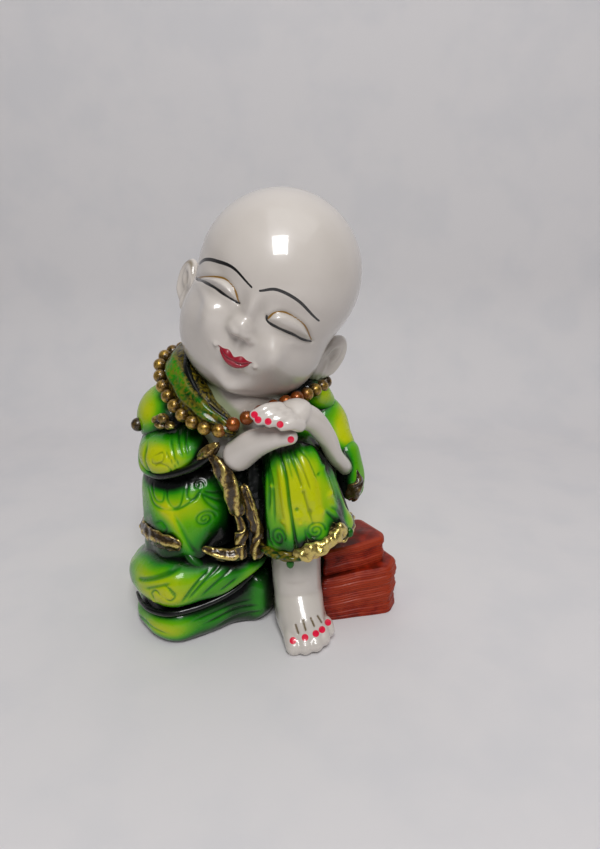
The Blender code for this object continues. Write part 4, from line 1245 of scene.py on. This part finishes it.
@dataclass(frozen=True)
class BareFoot:
    """White shin and foot with five toes and painted nails."""

    toes: tuple = (
        ((9.8, -33.0, 4.2), (11.4, -39.8, 2.3), 3.1), ((13.8, -34.0, 4.4), (15.2, -40.0, 2.6), 3.0),
        ((17.2, -33.6, 4.6), (18.7, -39.2, 3.0), 2.9), ((19.8, -32.0, 4.8), (21.3, -36.9, 3.5), 2.8),
        ((21.8, -29.4, 4.8), (23.2, -32.9, 3.8), 2.6),
    )
    forms: tuple[Tube, ...] = (
        Tube(((12.5, -20.0, 40.0), (12.0, -22.5, 26.0), (12.6, -23.0, 14.0), (13.0, -22.0, 8.6)),
             (9.0, 8.8, 8.6, 8.6), 48, 12),
        Tube(((12.4, -20.5, 15.0), (13.3, -26.6, 10.4), (14.8, -32.0, 6.2)), (8.7, 8.6, 7.6), 48, 12),
        Tube(((12.0, -17.0, 6.2), (13.5, -26.0, 6.4), (15.2, -32.8, 4.4)), (8.6, 9.0, 8.4), 48, 12, 0.74),
    )
    nails: Path = (
        (11.0, -40.6, 5.5), (15.1, -40.9, 7.0), (18.8, -39.6, 7.6), (21.0, -37.6, 7.7), (23.2, -33.3, 7.4),
    )
    slits: tuple[tuple[Point, Point], ...] = (
        ((12.8, -37.0, 5.6), (11.8, -37.0, 9.2)), ((15.4, -37.0, 6.8), (14.4, -37.0, 10.8)),
        ((18.4, -37.0, 8.6), (17.2, -37.0, 12.0)), ((21.0, -37.0, 10.4), (19.6, -37.0, 13.0)),
    )
    ankle: tuple[Point, Point] = ((7.0, -31.4, 21.4), (17.0, -31.4, 22.2))
    nail_radius: float = 1.25
    slit_width: float = 0.36
    slit_depth: float = 0.5
    ankle_depth: float = 0.35
    brush: Point = (-0.01, -0.784, 0.621)

    def build(self) -> list[Piece]:
        """Shin, heel, instep and toes melted into one, with nails and dark slits between the toes."""
        forms = [form.rings() for form in self.forms]
        for root, tip, radius in self.toes:
            forms.append(finger(root, tip, (radius * 0.95, radius, radius * 0.96), (0.0, 0.0, 0.9)))
        foot = melt_forms("left_foot", forms, 8)
        facing = ease(foot.normals() @ np.asarray(self.brush), 0.1, 0.4)
        cuts = [cut_along(foot.points, *slit, self.slit_width, self.brush) for slit in self.slits]
        cut = np.max(cuts, axis=0) * facing
        fold = cut_along(foot.points, *self.ankle, 0.7)
        foot.points -= foot.normals() * (self.slit_depth * cut + self.ankle_depth * fold)[:, None]
        foot.points[:, 2] = np.maximum(foot.points[:, 2], 0.0)
        foot.values["nail"] = nail_field(foot.points, self.nails, self.nail_radius, self.brush)
        foot.values["stain"] = 0.9 * cut
        return [foot]


@dataclass(frozen=True)
class Hands:
    """Right forearm and hand on the knee, the left hand and forearm on top of it."""

    right_arm: Tube = Tube(
        ((-6.6, -27.2, 68.2), (-1.0, -30.0, 73.4), (5.0, -32.6, 76.2), (10.4, -34.6, 77.3)),
        (5.3, 4.8, 3.6, 2.4))
    left_arm: Tube = Tube(
        ((30.0, -9.0, 55.0), (28.4, -14.0, 59.0), (25.0, -19.4, 65.0), (22.2, -22.6, 72.5),
         (17.8, -26.0, 79.6), (12.4, -29.0, 83.2)),
        (2.6, 2.9, 3.1, 3.5, 4.1, 5.0), flat=0.95)
    knuckles: Path = ((7.0, -33.5, 86.4), (9.2, -34.4, 84.8), (11.2, -34.8, 82.9), (13.2, -34.6, 81.2))
    tips: Path = ((-0.4, -37.0, 85.5), (1.0, -37.8, 84.0), (4.2, -38.2, 83.4), (8.0, -38.2, 82.2))
    finger_radii: tuple[float, ...] = (2.2, 2.0, 1.6)
    nails: Path = ((-0.3, -38.3, 86.0), (0.8, -38.7, 84.5), (3.8, -38.8, 84.0), (7.4, -39.2, 83.2))
    thumb_nail: Point = (10.6, -36.8, 77.4)
    nail_radius: float = 1.15
    brush: Point = (0.05, -0.941, 0.334)
    grooves: tuple[tuple[Point, Point], ...] = (
        ((2.4, -38.2, 85.2), (9.0, -36.0, 88.0)), ((5.4, -38.6, 84.4), (11.0, -36.4, 86.6)),
        ((8.8, -38.0, 83.0), (13.4, -36.0, 84.4)),
    )
    groove_width: float = 0.5
    groove_depth: float = 0.3

    def right(self) -> Piece:
        """Forearm and flat hand that taper to the thumb."""
        hand = melt_forms("right_hand", [self.right_arm.rings()], 5)
        hand.values["nail"] = nail_field(hand.points, (self.thumb_nail,), self.nail_radius, self.brush)
        return hand

    def left(self) -> Piece:
        """Forearm, back of the hand and four fingers that curl over the other hand."""
        forms = [self.left_arm.rings(),
                 ball_rings((11.0, -29.8, 83.2), (6.6, 5.6, 4.2), (0.3, -0.4, 0.3), 40, 60)]
        for root, tip in zip(self.knuckles, self.tips):
            forms.append(finger(root, tip, self.finger_radii, (0.0, -0.8, 0.9)))
        hand = melt_forms("left_hand", forms, 8)
        cuts = [cut_along(hand.points, *groove, self.groove_width) for groove in self.grooves]
        cut = np.max(cuts, axis=0)
        hand.points -= hand.normals() * (self.groove_depth * cut)[:, None]
        hand.values["nail"] = nail_field(hand.points, self.nails, self.nail_radius, self.brush)
        hand.values["stain"] = 0.2 * cut
        return hand

    def build(self) -> list[Piece]:
        """Both hands."""
        return [self.right(), self.left()]


@dataclass(frozen=True)
class LeftSleeve:
    """Left shoulder and sleeve behind the raised hand, with a cuff at the elbow."""

    arm: Tube = Tube(((15.0, 6.0, 76.0), (21.0, 4.0, 70.5), (25.4, -1.4, 63.0), (28.6, -5.0, 55.0)),
                     (7.0, 8.4, 7.8, 5.4), 90, 26)
    cuff: Tube = Tube(((29.8, -5.0, 60.0), (31.2, -8.2, 52.6), (31.6, -9.4, 48.6)), (5.2, 5.4, 4.6), 60, 20)
    collar: Tube = Tube(((13.0, -2.0, 84.0), (18.5, -1.0, 81.5), (21.0, 2.0, 77.5)), (4.0, 5.0, 5.0),
                        48, 16)
    trim_path: Path = ((32.4, -10.4, 56.6), (33.2, -11.4, 51.6), (32.4, -12.0, 47.2))
    trim_dulled: float = 1.3
    glows: tuple = (Glow((29.6, 69.0), (4.0, 5.0), 1.0), Glow((30.0, 59.0), (6.0, 4.0), -0.8))

    def build(self) -> list[Piece]:
        """Arm, cuff, its dull gilt end and the collar end on this side."""
        arm, cuff = self.arm.rings(), self.cuff.rings()
        turn = round_about(self.arm.columns)
        row = way_down(arm)
        folds = 0.35 * np.sin(16.0 * row + 2.0 * np.sin(turn)) * ease(row, 0.1, 0.5)
        turn = round_about(self.cuff.columns)
        flare = 0.4 * np.sin(5.0 * turn) * way_down(cuff)
        trim = gilded_band("left_cuff_trim", self.trim_path, (1.2, 2.9, 3.0))
        trim.values["ridge"] -= self.trim_dulled
        return [engraved("left_sleeve", Coat.ROBE, arm, swell=folds, glows=self.glows),
                engraved("left_cuff", Coat.ROBE, cuff, swell=flare, tint=-0.5),
                trim,
                engraved("collar_left", Coat.ROBE, self.collar.rings(), tint=0.2)]


@dataclass(frozen=True)
class Beads:
    """String of round gilded beads, evenly spaced along its closed path."""

    path: Path = (
        (-12.8, -26.0, 76.3), (-18.6, -24.5, 77.0), (-25.3, -20.0, 79.4), (-31.0, -13.5, 83.6),
        (-35.0, -6.0, 88.4), (-35.0, 2.0, 93.5), (-28.0, 14.0, 94.5), (-14.0, 23.0, 91.0),
        (2.0, 24.0, 87.0), (16.0, 16.0, 84.5), (22.5, 3.0, 84.5), (17.0, -9.0, 84.0), (7.0, -19.0, 83.0),
        (-3.0, -24.5, 80.5),
    )
    radius: float = 2.4
    count: int = 35

    def build(self) -> list[Piece]:
        """All beads as one piece: the same small ball at each place."""
        places = even_points(smooth_path((*self.path, self.path[0]), 24), self.count, 3)
        size = (self.radius,) * 3
        balls = [close_rings("bead", Coat.BEAD, ball_rings(tuple(place), size, rows=16, columns=24))
                 for place in places]
        string = join_pieces("bead_string", balls)
        in_front = ease(-string.points[:, 1], 10.0, 16.0)
        string.values["copper"] = 0.9 * ease(string.points[:, 0], -14.5, -9.0) * in_front
        return [string]


@dataclass(frozen=True)
class RidgedBlock:
    """Red-brown block in two steps, combed with fine ridges that rise to the right."""

    steps: tuple = (
        (((21.0, -22.9), (46.7, -17.6), (49.9, -10.5), (46.0, -3.0), (38.0, 9.0), (22.0, 9.0)), 0.0, 18.3),
        (((22.0, -19.4), (34.4, -16.2), (44.2, -12.4), (44.6, -8.4), (37.0, 4.0), (22.0, 4.0)), 15.0, 28.2),
    )
    rise: float = 0.1
    middle: float = 36.0
    ridge: float = 0.92
    ridge_height: float = 0.13
    columns: int = 236
    rows_to_mm: int = 7
    coarse_waves: tuple[tuple[float, float], ...] = ((6.6, 0.28), (2.3, 0.1))
    shoulder: float = 1.3
    level_below: float = 6.0
    cap_shares: tuple[float, ...] = (0.97, 0.9, 0.75, 0.5, 0.25)
    # Darker top of each step: partly duller paint, partly the knee's painted shadow.
    cap_darkness: float = 1.4

    def build(self) -> list[Piece]:
        """Both steps: an outline that swells in and out with height, level at the ground.

        The ridges are a wave of the height over the slanted level, plus two coarser ones.
        """
        made = []
        for step, (corners, low, high) in enumerate(self.steps):
            edge = rounded_outline(corners, self.columns, 4)
            centre = edge.mean(axis=0)
            away = edge - centre
            outward = away / np.linalg.norm(away, axis=1)[:, None]
            up = np.linspace(0.0, 1.0, int((high - low) * self.rows_to_mm))[:, None]
            level = low + (high - low) * up + 0.0 * edge[None, :, 0]
            bend = 0.12 * np.sin(0.5 * edge[None, :, 0] + 2.0 * step)
            comb = self.ridge_height * np.sin(2 * math.pi * (level + bend) / self.ridge)
            (long, tall), (short, small) = self.coarse_waves
            coarse = tall * np.sin(2 * math.pi * (level + bend) / long + 1.0)
            coarse += small * np.sin(2 * math.pi * level / short)
            grow = comb + coarse - self.shoulder * ease(up, 0.93, 1.0) ** 2
            plan = edge[None] + outward[None] * grow[..., None]
            slant = np.clip(level / self.level_below, 0.0, 1.0)
            height = level + self.rise * (plan[..., 0] - self.middle) * slant
            rings = np.concatenate([plan, height[..., None]], axis=2)
            top = height[-1][:, None]
            cap = [np.concatenate([centre + (plan[-1] - centre) * share, top + 0.25 * (1 - share)], axis=1)
                   for share in self.cap_shares]
            rings = np.concatenate([rings, np.array(cap)])
            groove = np.clip(-(comb + 0.5 * coarse) / 0.4, -1.0, 1.0)
            line = np.concatenate([groove, np.full((len(cap), self.columns), self.cap_darkness)])
            name = "block_upper" if step else "block_lower"
            made.append(close_rings(name, Coat.BLOCK, rings, {"line": line}))
        return made


@dataclass
class SprayAndShadeMap:
    """Map of how deep each place lies: the share of solid in a soft ball round it.

    On a flat face the share is a half, between two forms it is more, on a bulge less. Solid is
    every cell that cannot be seen along any of the six axis directions; the ground counts too.
    The paints read the map as painted shade where the share is high, in creases and between
    forms, and as painted highlight where it is low, on bulges.
    """

    cell: float = 0.8
    margin: float = 12.0
    fine: float = 1.5
    broad: float = 4.2
    low: Array = field(default_factory=lambda: np.zeros(3))
    fields: dict[str, Array] = field(default_factory=dict)

    def cells(self, points: Array) -> Array:
        """Whole cell numbers of points."""
        return np.round((points - self.low) / self.cell).astype(int)

    @staticmethod
    def blur(grid: Array, sigma: float) -> Array:
        """Soften a grid with a bell curve, as a product of its waves and e to the power of
        minus two pi squared sigma squared frequency squared."""
        waves = np.fft.rfftn(grid)
        for axis, count in enumerate(grid.shape):
            step = np.fft.rfftfreq(count) if axis == 2 else np.fft.fftfreq(count)
            shape = [1, 1, 1]
            shape[axis] = -1
            waves *= np.exp(-2.0 * (math.pi * sigma * step) ** 2).reshape(shape)
        return np.fft.irfftn(waves, s=grid.shape, axes=(0, 1, 2))

    def fill(self, pieces: list[Piece]) -> None:
        """Fill the map from all pieces, and a second one from the robe alone for overspray."""
        every = np.vstack([piece.points for piece in pieces])
        self.low = every.min(axis=0) - self.margin
        shape = tuple(((every.max(axis=0) + self.margin - self.low) / self.cell).astype(int) + 1)
        shell = np.zeros(shape, dtype=bool)
        robe = np.zeros(shape, dtype=np.float32)
        for piece in pieces:
            middle = [piece.points]
            for faces in (piece.quads, piece.triangles):
                if len(faces):
                    middle.append(piece.points[faces].mean(axis=1))
            at = self.cells(np.vstack(middle))
            shell[at[:, 0], at[:, 1], at[:, 2]] = True
            if piece.coat is Coat.ROBE:
                robe[at[:, 0], at[:, 1], at[:, 2]] = 1.0
        hidden = np.ones(shape, dtype=bool)
        for axis in range(3):
            hidden &= np.cumsum(shell, axis=axis) > 0
            hidden &= np.flip(np.cumsum(np.flip(shell, axis), axis=axis) > 0, axis)
        solid = hidden.astype(np.float32)
        ground = max(0, int(-self.low[2] / self.cell))
        solid[:, :, :ground] = 1.0
        self.fields["crease"] = self.blur(solid, self.fine / self.cell)
        self.fields["depth"] = self.blur(solid, self.broad / self.cell)
        self.fields["robe_near"] = self.blur(robe, 2.0 / self.cell)

    def read(self, name: str, points: Array) -> Array:
        """Read a map at points, mixed evenly between the eight cells round each."""
        grid = self.fields[name]
        at = (points - self.low) / self.cell
        base = np.clip(np.floor(at).astype(int), 0, np.array(grid.shape) - 2)
        part = at - base
        total = np.zeros(len(points))
        for dx in (0, 1):
            for dy in (0, 1):
                for dz in (0, 1):
                    share = np.where((dx, dy, dz), part, 1 - part)
                    weight = share[:, 0] * share[:, 1] * share[:, 2]
                    total += weight * grid[base[:, 0] + dx, base[:, 1] + dy, base[:, 2] + dz]
        return total

    def spray(self, pieces: list[Piece]) -> None:
        """Give each piece its depth and crease values, which the paints turn into painted shade and painted
        highlight, and the skin its overspray value.
        """
        for piece in pieces:
            piece.values["crease"] = self.read("crease", piece.points)
            piece.values["depth"] = self.read("depth", piece.points)
            if piece.coat is Coat.SKIN:
                piece.values["robe_near"] = self.read("robe_near", piece.points + piece.normals() * 0.8)


class Nodes:
    """Short way to lay shader nodes in one material."""

    def __init__(self, name: str) -> None:
        """Start a material with its Principled shader."""
        self.material = bpy.data.materials.new(name)
        self.material.use_nodes = True
        self.tree = self.material.node_tree
        self.shader = self.tree.nodes["Principled BSDF"]

    def add(self, kind: str, **settings: object) -> bpy.types.Node:
        """Add a node and set its plain properties."""
        node = self.tree.nodes.new(kind)
        for key, value in settings.items():
            setattr(node, key, value)
        return node

    def join(self, source: bpy.types.NodeSocket, target: bpy.types.NodeSocket) -> None:
        """Link two sockets."""
        self.tree.links.new(source, target)

    def attribute(self, name: str) -> bpy.types.NodeSocket:
        """Value that the mesh carries under a name."""
        return self.add("ShaderNodeAttribute", attribute_name=name).outputs["Fac"]

    def remap(self, source: bpy.types.NodeSocket, low: float, high: float, start: float = 0.0,
              end: float = 1.0) -> bpy.types.NodeSocket:
        """Stretch a value from low and high to start and end, held at both."""
        node = self.add("ShaderNodeMapRange", interpolation_type="SMOOTHSTEP")
        for socket, value in zip(node.inputs[1:5], (low, high, start, end)):
            socket.default_value = value
        self.join(source, node.inputs[0])
        return node.outputs[0]

    def maths(self, operation: str, first: object, second: object) -> bpy.types.NodeSocket:
        """One sum of two values or sockets."""
        node = self.add("ShaderNodeMath", operation=operation)
        for socket, value in zip(node.inputs, (first, second)):
            if isinstance(value, (int, float)):
                socket.default_value = value
            else:
                self.join(value, socket)
        return node.outputs[0]

    def noise(self, scale: float, detail: float = 3.0, distortion: float = 0.0) -> bpy.types.NodeSocket:
        """Noise on object coordinates, so many waves to a metre."""
        node = self.add("ShaderNodeTexNoise")
        node.inputs["Scale"].default_value = scale
        node.inputs["Detail"].default_value = detail
        node.inputs["Distortion"].default_value = distortion
        self.join(self.add("ShaderNodeTexCoord").outputs["Object"], node.inputs["Vector"])
        return node.outputs["Fac"]

    def mix(self, factor: bpy.types.NodeSocket, under: object, over: object) -> bpy.types.NodeSocket:
        """Mix two colours, given as values or sockets."""
        node = self.add("ShaderNodeMix", data_type="RGBA")
        self.join(factor, node.inputs[0])
        for socket, colour in ((node.inputs[6], under), (node.inputs[7], over)):
            if isinstance(colour, tuple):
                socket.default_value = colour
            else:
                self.join(colour, socket)
        return node.outputs[2]

    def ramp(self, source: bpy.types.NodeSocket, stops: tuple) -> bpy.types.NodeSocket:
        """Colour ramp of (place, colour) stops."""
        node = self.add("ShaderNodeValToRGB")
        while len(node.color_ramp.elements) < len(stops):
            node.color_ramp.elements.new(0.5)
        for element, (place, colour) in zip(node.color_ramp.elements, stops):
            element.position = place
            element.color = colour
        self.join(source, node.inputs[0])
        return node.outputs[0]

    def bump(self, height: bpy.types.NodeSocket, strength: float, distance: float) -> None:
        """Fine unevenness of the paint film."""
        node = self.add("ShaderNodeBump")
        node.inputs["Strength"].default_value = strength
        node.inputs["Distance"].default_value = distance
        self.join(height, node.inputs["Height"])
        self.join(node.outputs[0], self.shader.inputs["Normal"])

    def lacquer(self, coat: float, coat_roughness: float, specular: float = 0.5) -> None:
        """Clear gloss over everything, by plain values on the shader."""
        self.shader.inputs["Coat Weight"].default_value = coat
        self.shader.inputs["Coat Roughness"].default_value = coat_roughness
        self.shader.inputs["Specular IOR Level"].default_value = specular


@dataclass(frozen=True)
class SkinEnamel:
    """Milky enamel with painted features, pale green overspray and painted shade in the hollows."""

    white: tuple = linear(215, 207, 199)
    shade: tuple = linear(176, 168, 158)
    overspray: tuple = linear(120, 150, 70)
    ink: tuple = linear(8, 6, 8)
    gilt: tuple = linear(146, 106, 26)
    lips: tuple = linear(152, 0, 34)
    nail: tuple = linear(236, 8, 62)
    stain: tuple = linear(116, 100, 72)
    mottle_share: float = 0.12
    crease_shade_share: float = 0.75
    overspray_share: float = 0.55
    roughness: float = 0.32

    def material(self) -> bpy.types.Material:
        """Build the finish: each painted area starts where its value passes zero."""
        n = Nodes(Coat.SKIN.value)
        mottle = n.remap(n.noise(60.0, 4.0), 0.35, 0.7)
        colour = n.mix(n.maths("MULTIPLY", mottle, self.mottle_share), self.white, self.shade)
        # Painted shade: the skin turns towards its shade colour where the crease map is high.
        hollow = n.remap(n.attribute("crease"), 0.60, 0.86)
        colour = n.mix(n.maths("MULTIPLY", hollow, self.crease_shade_share), colour, self.shade)
        uneven = n.maths("MULTIPLY", n.noise(300.0), 0.03)
        near = n.remap(n.maths("ADD", n.attribute("robe_near"), uneven), 0.035, 0.15)
        colour = n.mix(n.maths("MULTIPLY", near, self.overspray_share), colour, self.overspray)
        colour = n.mix(n.remap(n.attribute("stain"), 0.1, 0.7), colour, self.stain)
        for name, paint, soft in (("gilt_line", self.gilt, 0.08), ("ink", self.ink, 0.06),
                                  ("lips", self.lips, 0.16), ("nail", self.nail, 0.16)):
            colour = n.mix(n.remap(n.attribute(name), 0.0, soft), colour, paint)
        n.join(colour, n.shader.inputs["Base Color"])
        n.shader.inputs["Roughness"].default_value = self.roughness
        n.lacquer(0.9, 0.04)
        n.bump(n.noise(220.0, 2.0), 0.05, 0.001)
        return n.material


@dataclass(frozen=True)
class RobeSpray:
    """Airbrushed robe: yellow on what bulges, green towards the edges, black in the creases; partly its
    paint, partly painted highlight on the bulges and painted shade in the creases.
    """

    black: tuple = linear(4, 7, 5)
    dark: tuple = linear(6, 70, 4)
    green: tuple = linear(34, 136, 2)
    fresh: tuple = linear(104, 176, 0)
    yellow: tuple = linear(188, 198, 4)
    fleck: tuple = linear(128, 112, 18)
    line_depth: float = 0.035
    glow_share: float = 0.42
    crease_glow: float = 0.10
    cut_share: float = 0.42

    def material(self) -> bpy.types.Material:
        """Build the finish from how deep each place lies, as paint and painted shade, broken up by soft
        noise.
        """
        n = Nodes(Coat.ROBE.value)
        cloud = n.maths("MULTIPLY", n.maths("SUBTRACT", n.noise(55.0, 2.0), 0.5), 0.16)
        depth = n.maths("ADD", n.attribute("depth"), cloud)
        line = n.attribute("line")
        depth = n.maths("ADD", depth, n.maths("MULTIPLY", line, self.line_depth))
        glow = n.maths("MULTIPLY", n.attribute("glow"), self.glow_share)
        # Paint together with painted highlight and shade: yellow where the depth map is low, dark where it
        # is high.
        tone = n.maths("ADD", n.remap(depth, 0.70, 0.36, 0.14, 0.84), glow)
        colour = n.ramp(tone, ((0.0, self.black), (0.18, self.dark), (0.42, self.green),
                               (0.66, self.fresh), (0.95, self.yellow)))
        # Painted shade: black where the crease map is high, less where the glow value is positive.
        lit = n.maths("MULTIPLY", n.attribute("glow"), self.crease_glow)
        hollow = n.maths("SUBTRACT", n.attribute("crease"), lit)
        crease = n.remap(n.maths("ADD", hollow, n.maths("MULTIPLY", cloud, 0.3)), 0.66, 0.84)
        colour = n.mix(crease, colour, self.black)
        cut = n.remap(line, 0.25, 1.0)
        colour = n.mix(n.maths("MULTIPLY", cut, self.cut_share), colour, self.dark)
        speck = n.remap(n.noise(800.0, 5.0, 0.4), 0.36, 0.66)
        colour = n.mix(n.maths("MULTIPLY", speck, n.attribute("gold")), colour, self.fleck)
        n.join(colour, n.shader.inputs["Base Color"])
        n.join(n.remap(n.noise(400.0), 0.3, 0.7, 0.25, 0.42), n.shader.inputs["Roughness"])
        n.lacquer(0.5, 0.05, 0.2)
        n.bump(n.noise(380.0, 4.0), 0.28, 0.0007)
        return n.material


@dataclass(frozen=True)
class GiltBrush:
    """Antique gold dry-brushed over brown: bright on the ribs, umber in the hollows, and darker between
    forms as painted shade.
    """

    umber: tuple = linear(54, 40, 16)
    bronze: tuple = linear(132, 104, 44)
    gold: tuple = linear(222, 200, 116)
    copper: tuple = linear(150, 72, 16)
    shine: float = 0.0
    ridge_share: float = 0.26
    coat: Coat = Coat.GILT

    def material(self) -> bpy.types.Material:
        """Build the finish from the depth of each place, its ridges and rough noise."""
        n = Nodes(self.coat.value)
        grain = n.noise(700.0, 5.0, 0.6)
        # Less bright where the crease map is high: the brown ground, darkened further as painted shade
        # between forms.
        high = n.maths("SUBTRACT", n.maths("ADD", grain, 0.5 + self.shine), n.attribute("crease"))
        high = n.maths("ADD", high, n.maths("MULTIPLY", n.attribute("ridge"), self.ridge_share))
        tone = n.remap(high, 0.30, 0.90)
        colour = n.ramp(tone, ((0.0, self.umber), (0.45, self.bronze), (0.9, self.gold)))
        colour = n.mix(n.attribute("copper"), colour, self.copper)
        n.join(colour, n.shader.inputs["Base Color"])
        n.join(n.remap(tone, 0.0, 1.0, 0.30, 0.95), n.shader.inputs["Metallic"])
        n.join(n.remap(grain, 0.3, 0.7, 0.20, 0.42), n.shader.inputs["Roughness"])
        n.lacquer(0.6, 0.10)
        n.bump(grain, 0.35, 0.0008)
        return n.material


@dataclass(frozen=True)
class BlockPaint:
    """Red-brown paint on the ridged block, darker in the ridges, worn lighter on them, and darker where the
    depth map is high and on its top, partly as painted shade.
    """

    deep: tuple = linear(62, 14, 4)
    red: tuple = linear(134, 30, 8)
    worn: tuple = linear(158, 52, 22)
    line_share: float = 0.16
    roughness: float = 0.42

    def material(self) -> bpy.types.Material:
        """Build the finish from the ridge value, the depth and streaky noise."""
        n = Nodes(Coat.BLOCK.value)
        streak = n.noise(260.0, 4.0, 0.4)
        # Darker in the grooves and on the top cap; on the cap this is partly the knee's painted shadow.
        groove = n.maths("MULTIPLY", n.attribute("line"), self.line_share)
        tone = n.maths("SUBTRACT", n.maths("MULTIPLY", streak, 0.9), groove)
        # Painted shade: darker where the depth map is high, near the ground and under the knee.
        tone = n.maths("SUBTRACT", tone, n.maths("SUBTRACT", n.attribute("depth"), 0.5))
        stops = ((0.0, self.deep), (0.55, self.red), (1.0, self.worn))
        n.join(n.ramp(n.remap(tone, 0.1, 0.85), stops), n.shader.inputs["Base Color"])
        n.shader.inputs["Roughness"].default_value = self.roughness
        n.lacquer(0.15, 0.2, 0.2)
        n.bump(streak, 0.25, 0.0008)
        return n.material


@dataclass(frozen=True)
class Studio:
    """Plain pale ground and backdrop, soft lights and the camera of the photograph's view."""

    ground: tuple = linear(224, 221, 222)
    ground_shade: tuple = linear(219, 217, 219)
    sky: tuple = linear(196, 196, 200)
    sweep_back: float = 0.16
    sweep_radius: float = 0.09
    half_width: float = 1.6
    front: float = -1.6
    top: float = 1.4

    def camera(self) -> None:
        """Camera 20 degrees above the level, with the photograph's field of view."""
        data = bpy.data.cameras.new("camera")
        data.sensor_width = SENSOR
        data.sensor_fit = "AUTO"
        data.lens = SENSOR * PHOTO_FOCAL / max(PHOTO_WIDE, PHOTO_TALL)
        data.clip_start = 0.01
        made = bpy.data.objects.new("camera", data)
        made.location = CAMERA_PLACE
        made.rotation_euler = (math.radians(90.0 - PHOTO_PITCH), 0.0, 0.0)
        bpy.context.scene.collection.objects.link(made)
        bpy.context.scene.camera = made

    def backdrop(self) -> None:
        """Ground that turns up behind the figurine in a quarter circle."""
        bend = np.linspace(0.0, 0.5 * math.pi, 24)
        profile = [(self.front, 0.0)]
        for b in bend:
            back = self.sweep_back + self.sweep_radius * math.sin(b)
            profile.append((back, self.sweep_radius * (1 - math.cos(b))))
        profile.append((self.sweep_back + self.sweep_radius, self.top))
        line = np.array(profile)
        points = np.array([(x, y, z) for x in (-self.half_width, self.half_width) for y, z in line])
        count = len(line)
        faces = [(k, count + k, count + k + 1, k + 1) for k in range(count - 1)]
        mesh = bpy.data.meshes.new("ground")
        mesh.from_pydata(points.tolist(), [], faces)
        mesh.shade_smooth()
        n = Nodes("pale_ground")
        n.join(n.mix(n.remap(n.noise(30.0, 5.0), 0.4, 0.7), self.ground, self.ground_shade),
               n.shader.inputs["Base Color"])
        n.shader.inputs["Roughness"].default_value = 0.85
        mesh.materials.append(n.material)
        made = bpy.data.objects.new("ground", mesh)
        bpy.context.scene.collection.objects.link(made)

    @staticmethod
    def lamp(name: str, place: Point, aim: Point, wide: float, tall: float, power: float) -> None:
        """Rectangular soft light at a place, turned to what it lights."""
        data = bpy.data.lights.new(name, "AREA")
        data.shape = "RECTANGLE"
        data.size, data.size_y = wide, tall
        data.energy = power
        made = bpy.data.objects.new(name, data)
        made.location = place
        made.rotation_euler = (Vector(aim) - Vector(place)).to_track_quat("-Z", "Y").to_euler()
        bpy.context.scene.collection.objects.link(made)

    def build(self) -> None:
        """Camera, ground, window light from above in front, a wide one overhead and a grey sky."""
        self.camera()
        self.backdrop()
        self.lamp("window", (0.05, -0.56, 0.735), (0.0, 0.0, 0.11), 0.29, 0.38, 4.8)
        self.lamp("overhead", (0.25, 0.0, 1.1), (0.0, 0.0, 0.07), 1.2, 1.0, 2.6)
        world = bpy.data.worlds.new("studio")
        world.use_nodes = True
        world.node_tree.nodes["Background"].inputs[0].default_value = self.sky
        world.node_tree.nodes["Background"].inputs[1].default_value = 0.16
        bpy.context.scene.world = world
        bpy.context.scene.view_settings.view_transform = "Standard"


def main() -> None:
    """Build every form, spray them all and set up the studio."""
    logging.basicConfig(level=logging.INFO, format="%(name)s: %(message)s")
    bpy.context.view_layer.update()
    pieces: list[Piece] = []
    for part in (Head(), Robe(), RightSleeve(), Sash(), Knee(), FoldedLeg(), BareFoot(), Hands(),
                 LeftSleeve(), Beads(), RidgedBlock()):
        made = part.build()
        LOG.info("%s: %d pieces", type(part).__name__, len(made))
        pieces += made
    # Map of depth that the paints turn into painted shade and painted highlight, and the robe's overspray.
    brush = SprayAndShadeMap()
    brush.fill(pieces)
    brush.spray(pieces)
    bead = GiltBrush(umber=linear(58, 42, 8), bronze=linear(138, 104, 30), gold=linear(214, 176, 80),
                     shine=0.1, coat=Coat.BEAD)
    finishes = {Coat.SKIN: SkinEnamel().material(), Coat.ROBE: RobeSpray().material(),
                Coat.GILT: GiltBrush().material(), Coat.BEAD: bead.material(),
                Coat.BLOCK: BlockPaint().material()}
    for piece in pieces:
        piece.place(finishes[piece.coat])
    Studio().build()


if __name__ == "__main__":
    main()
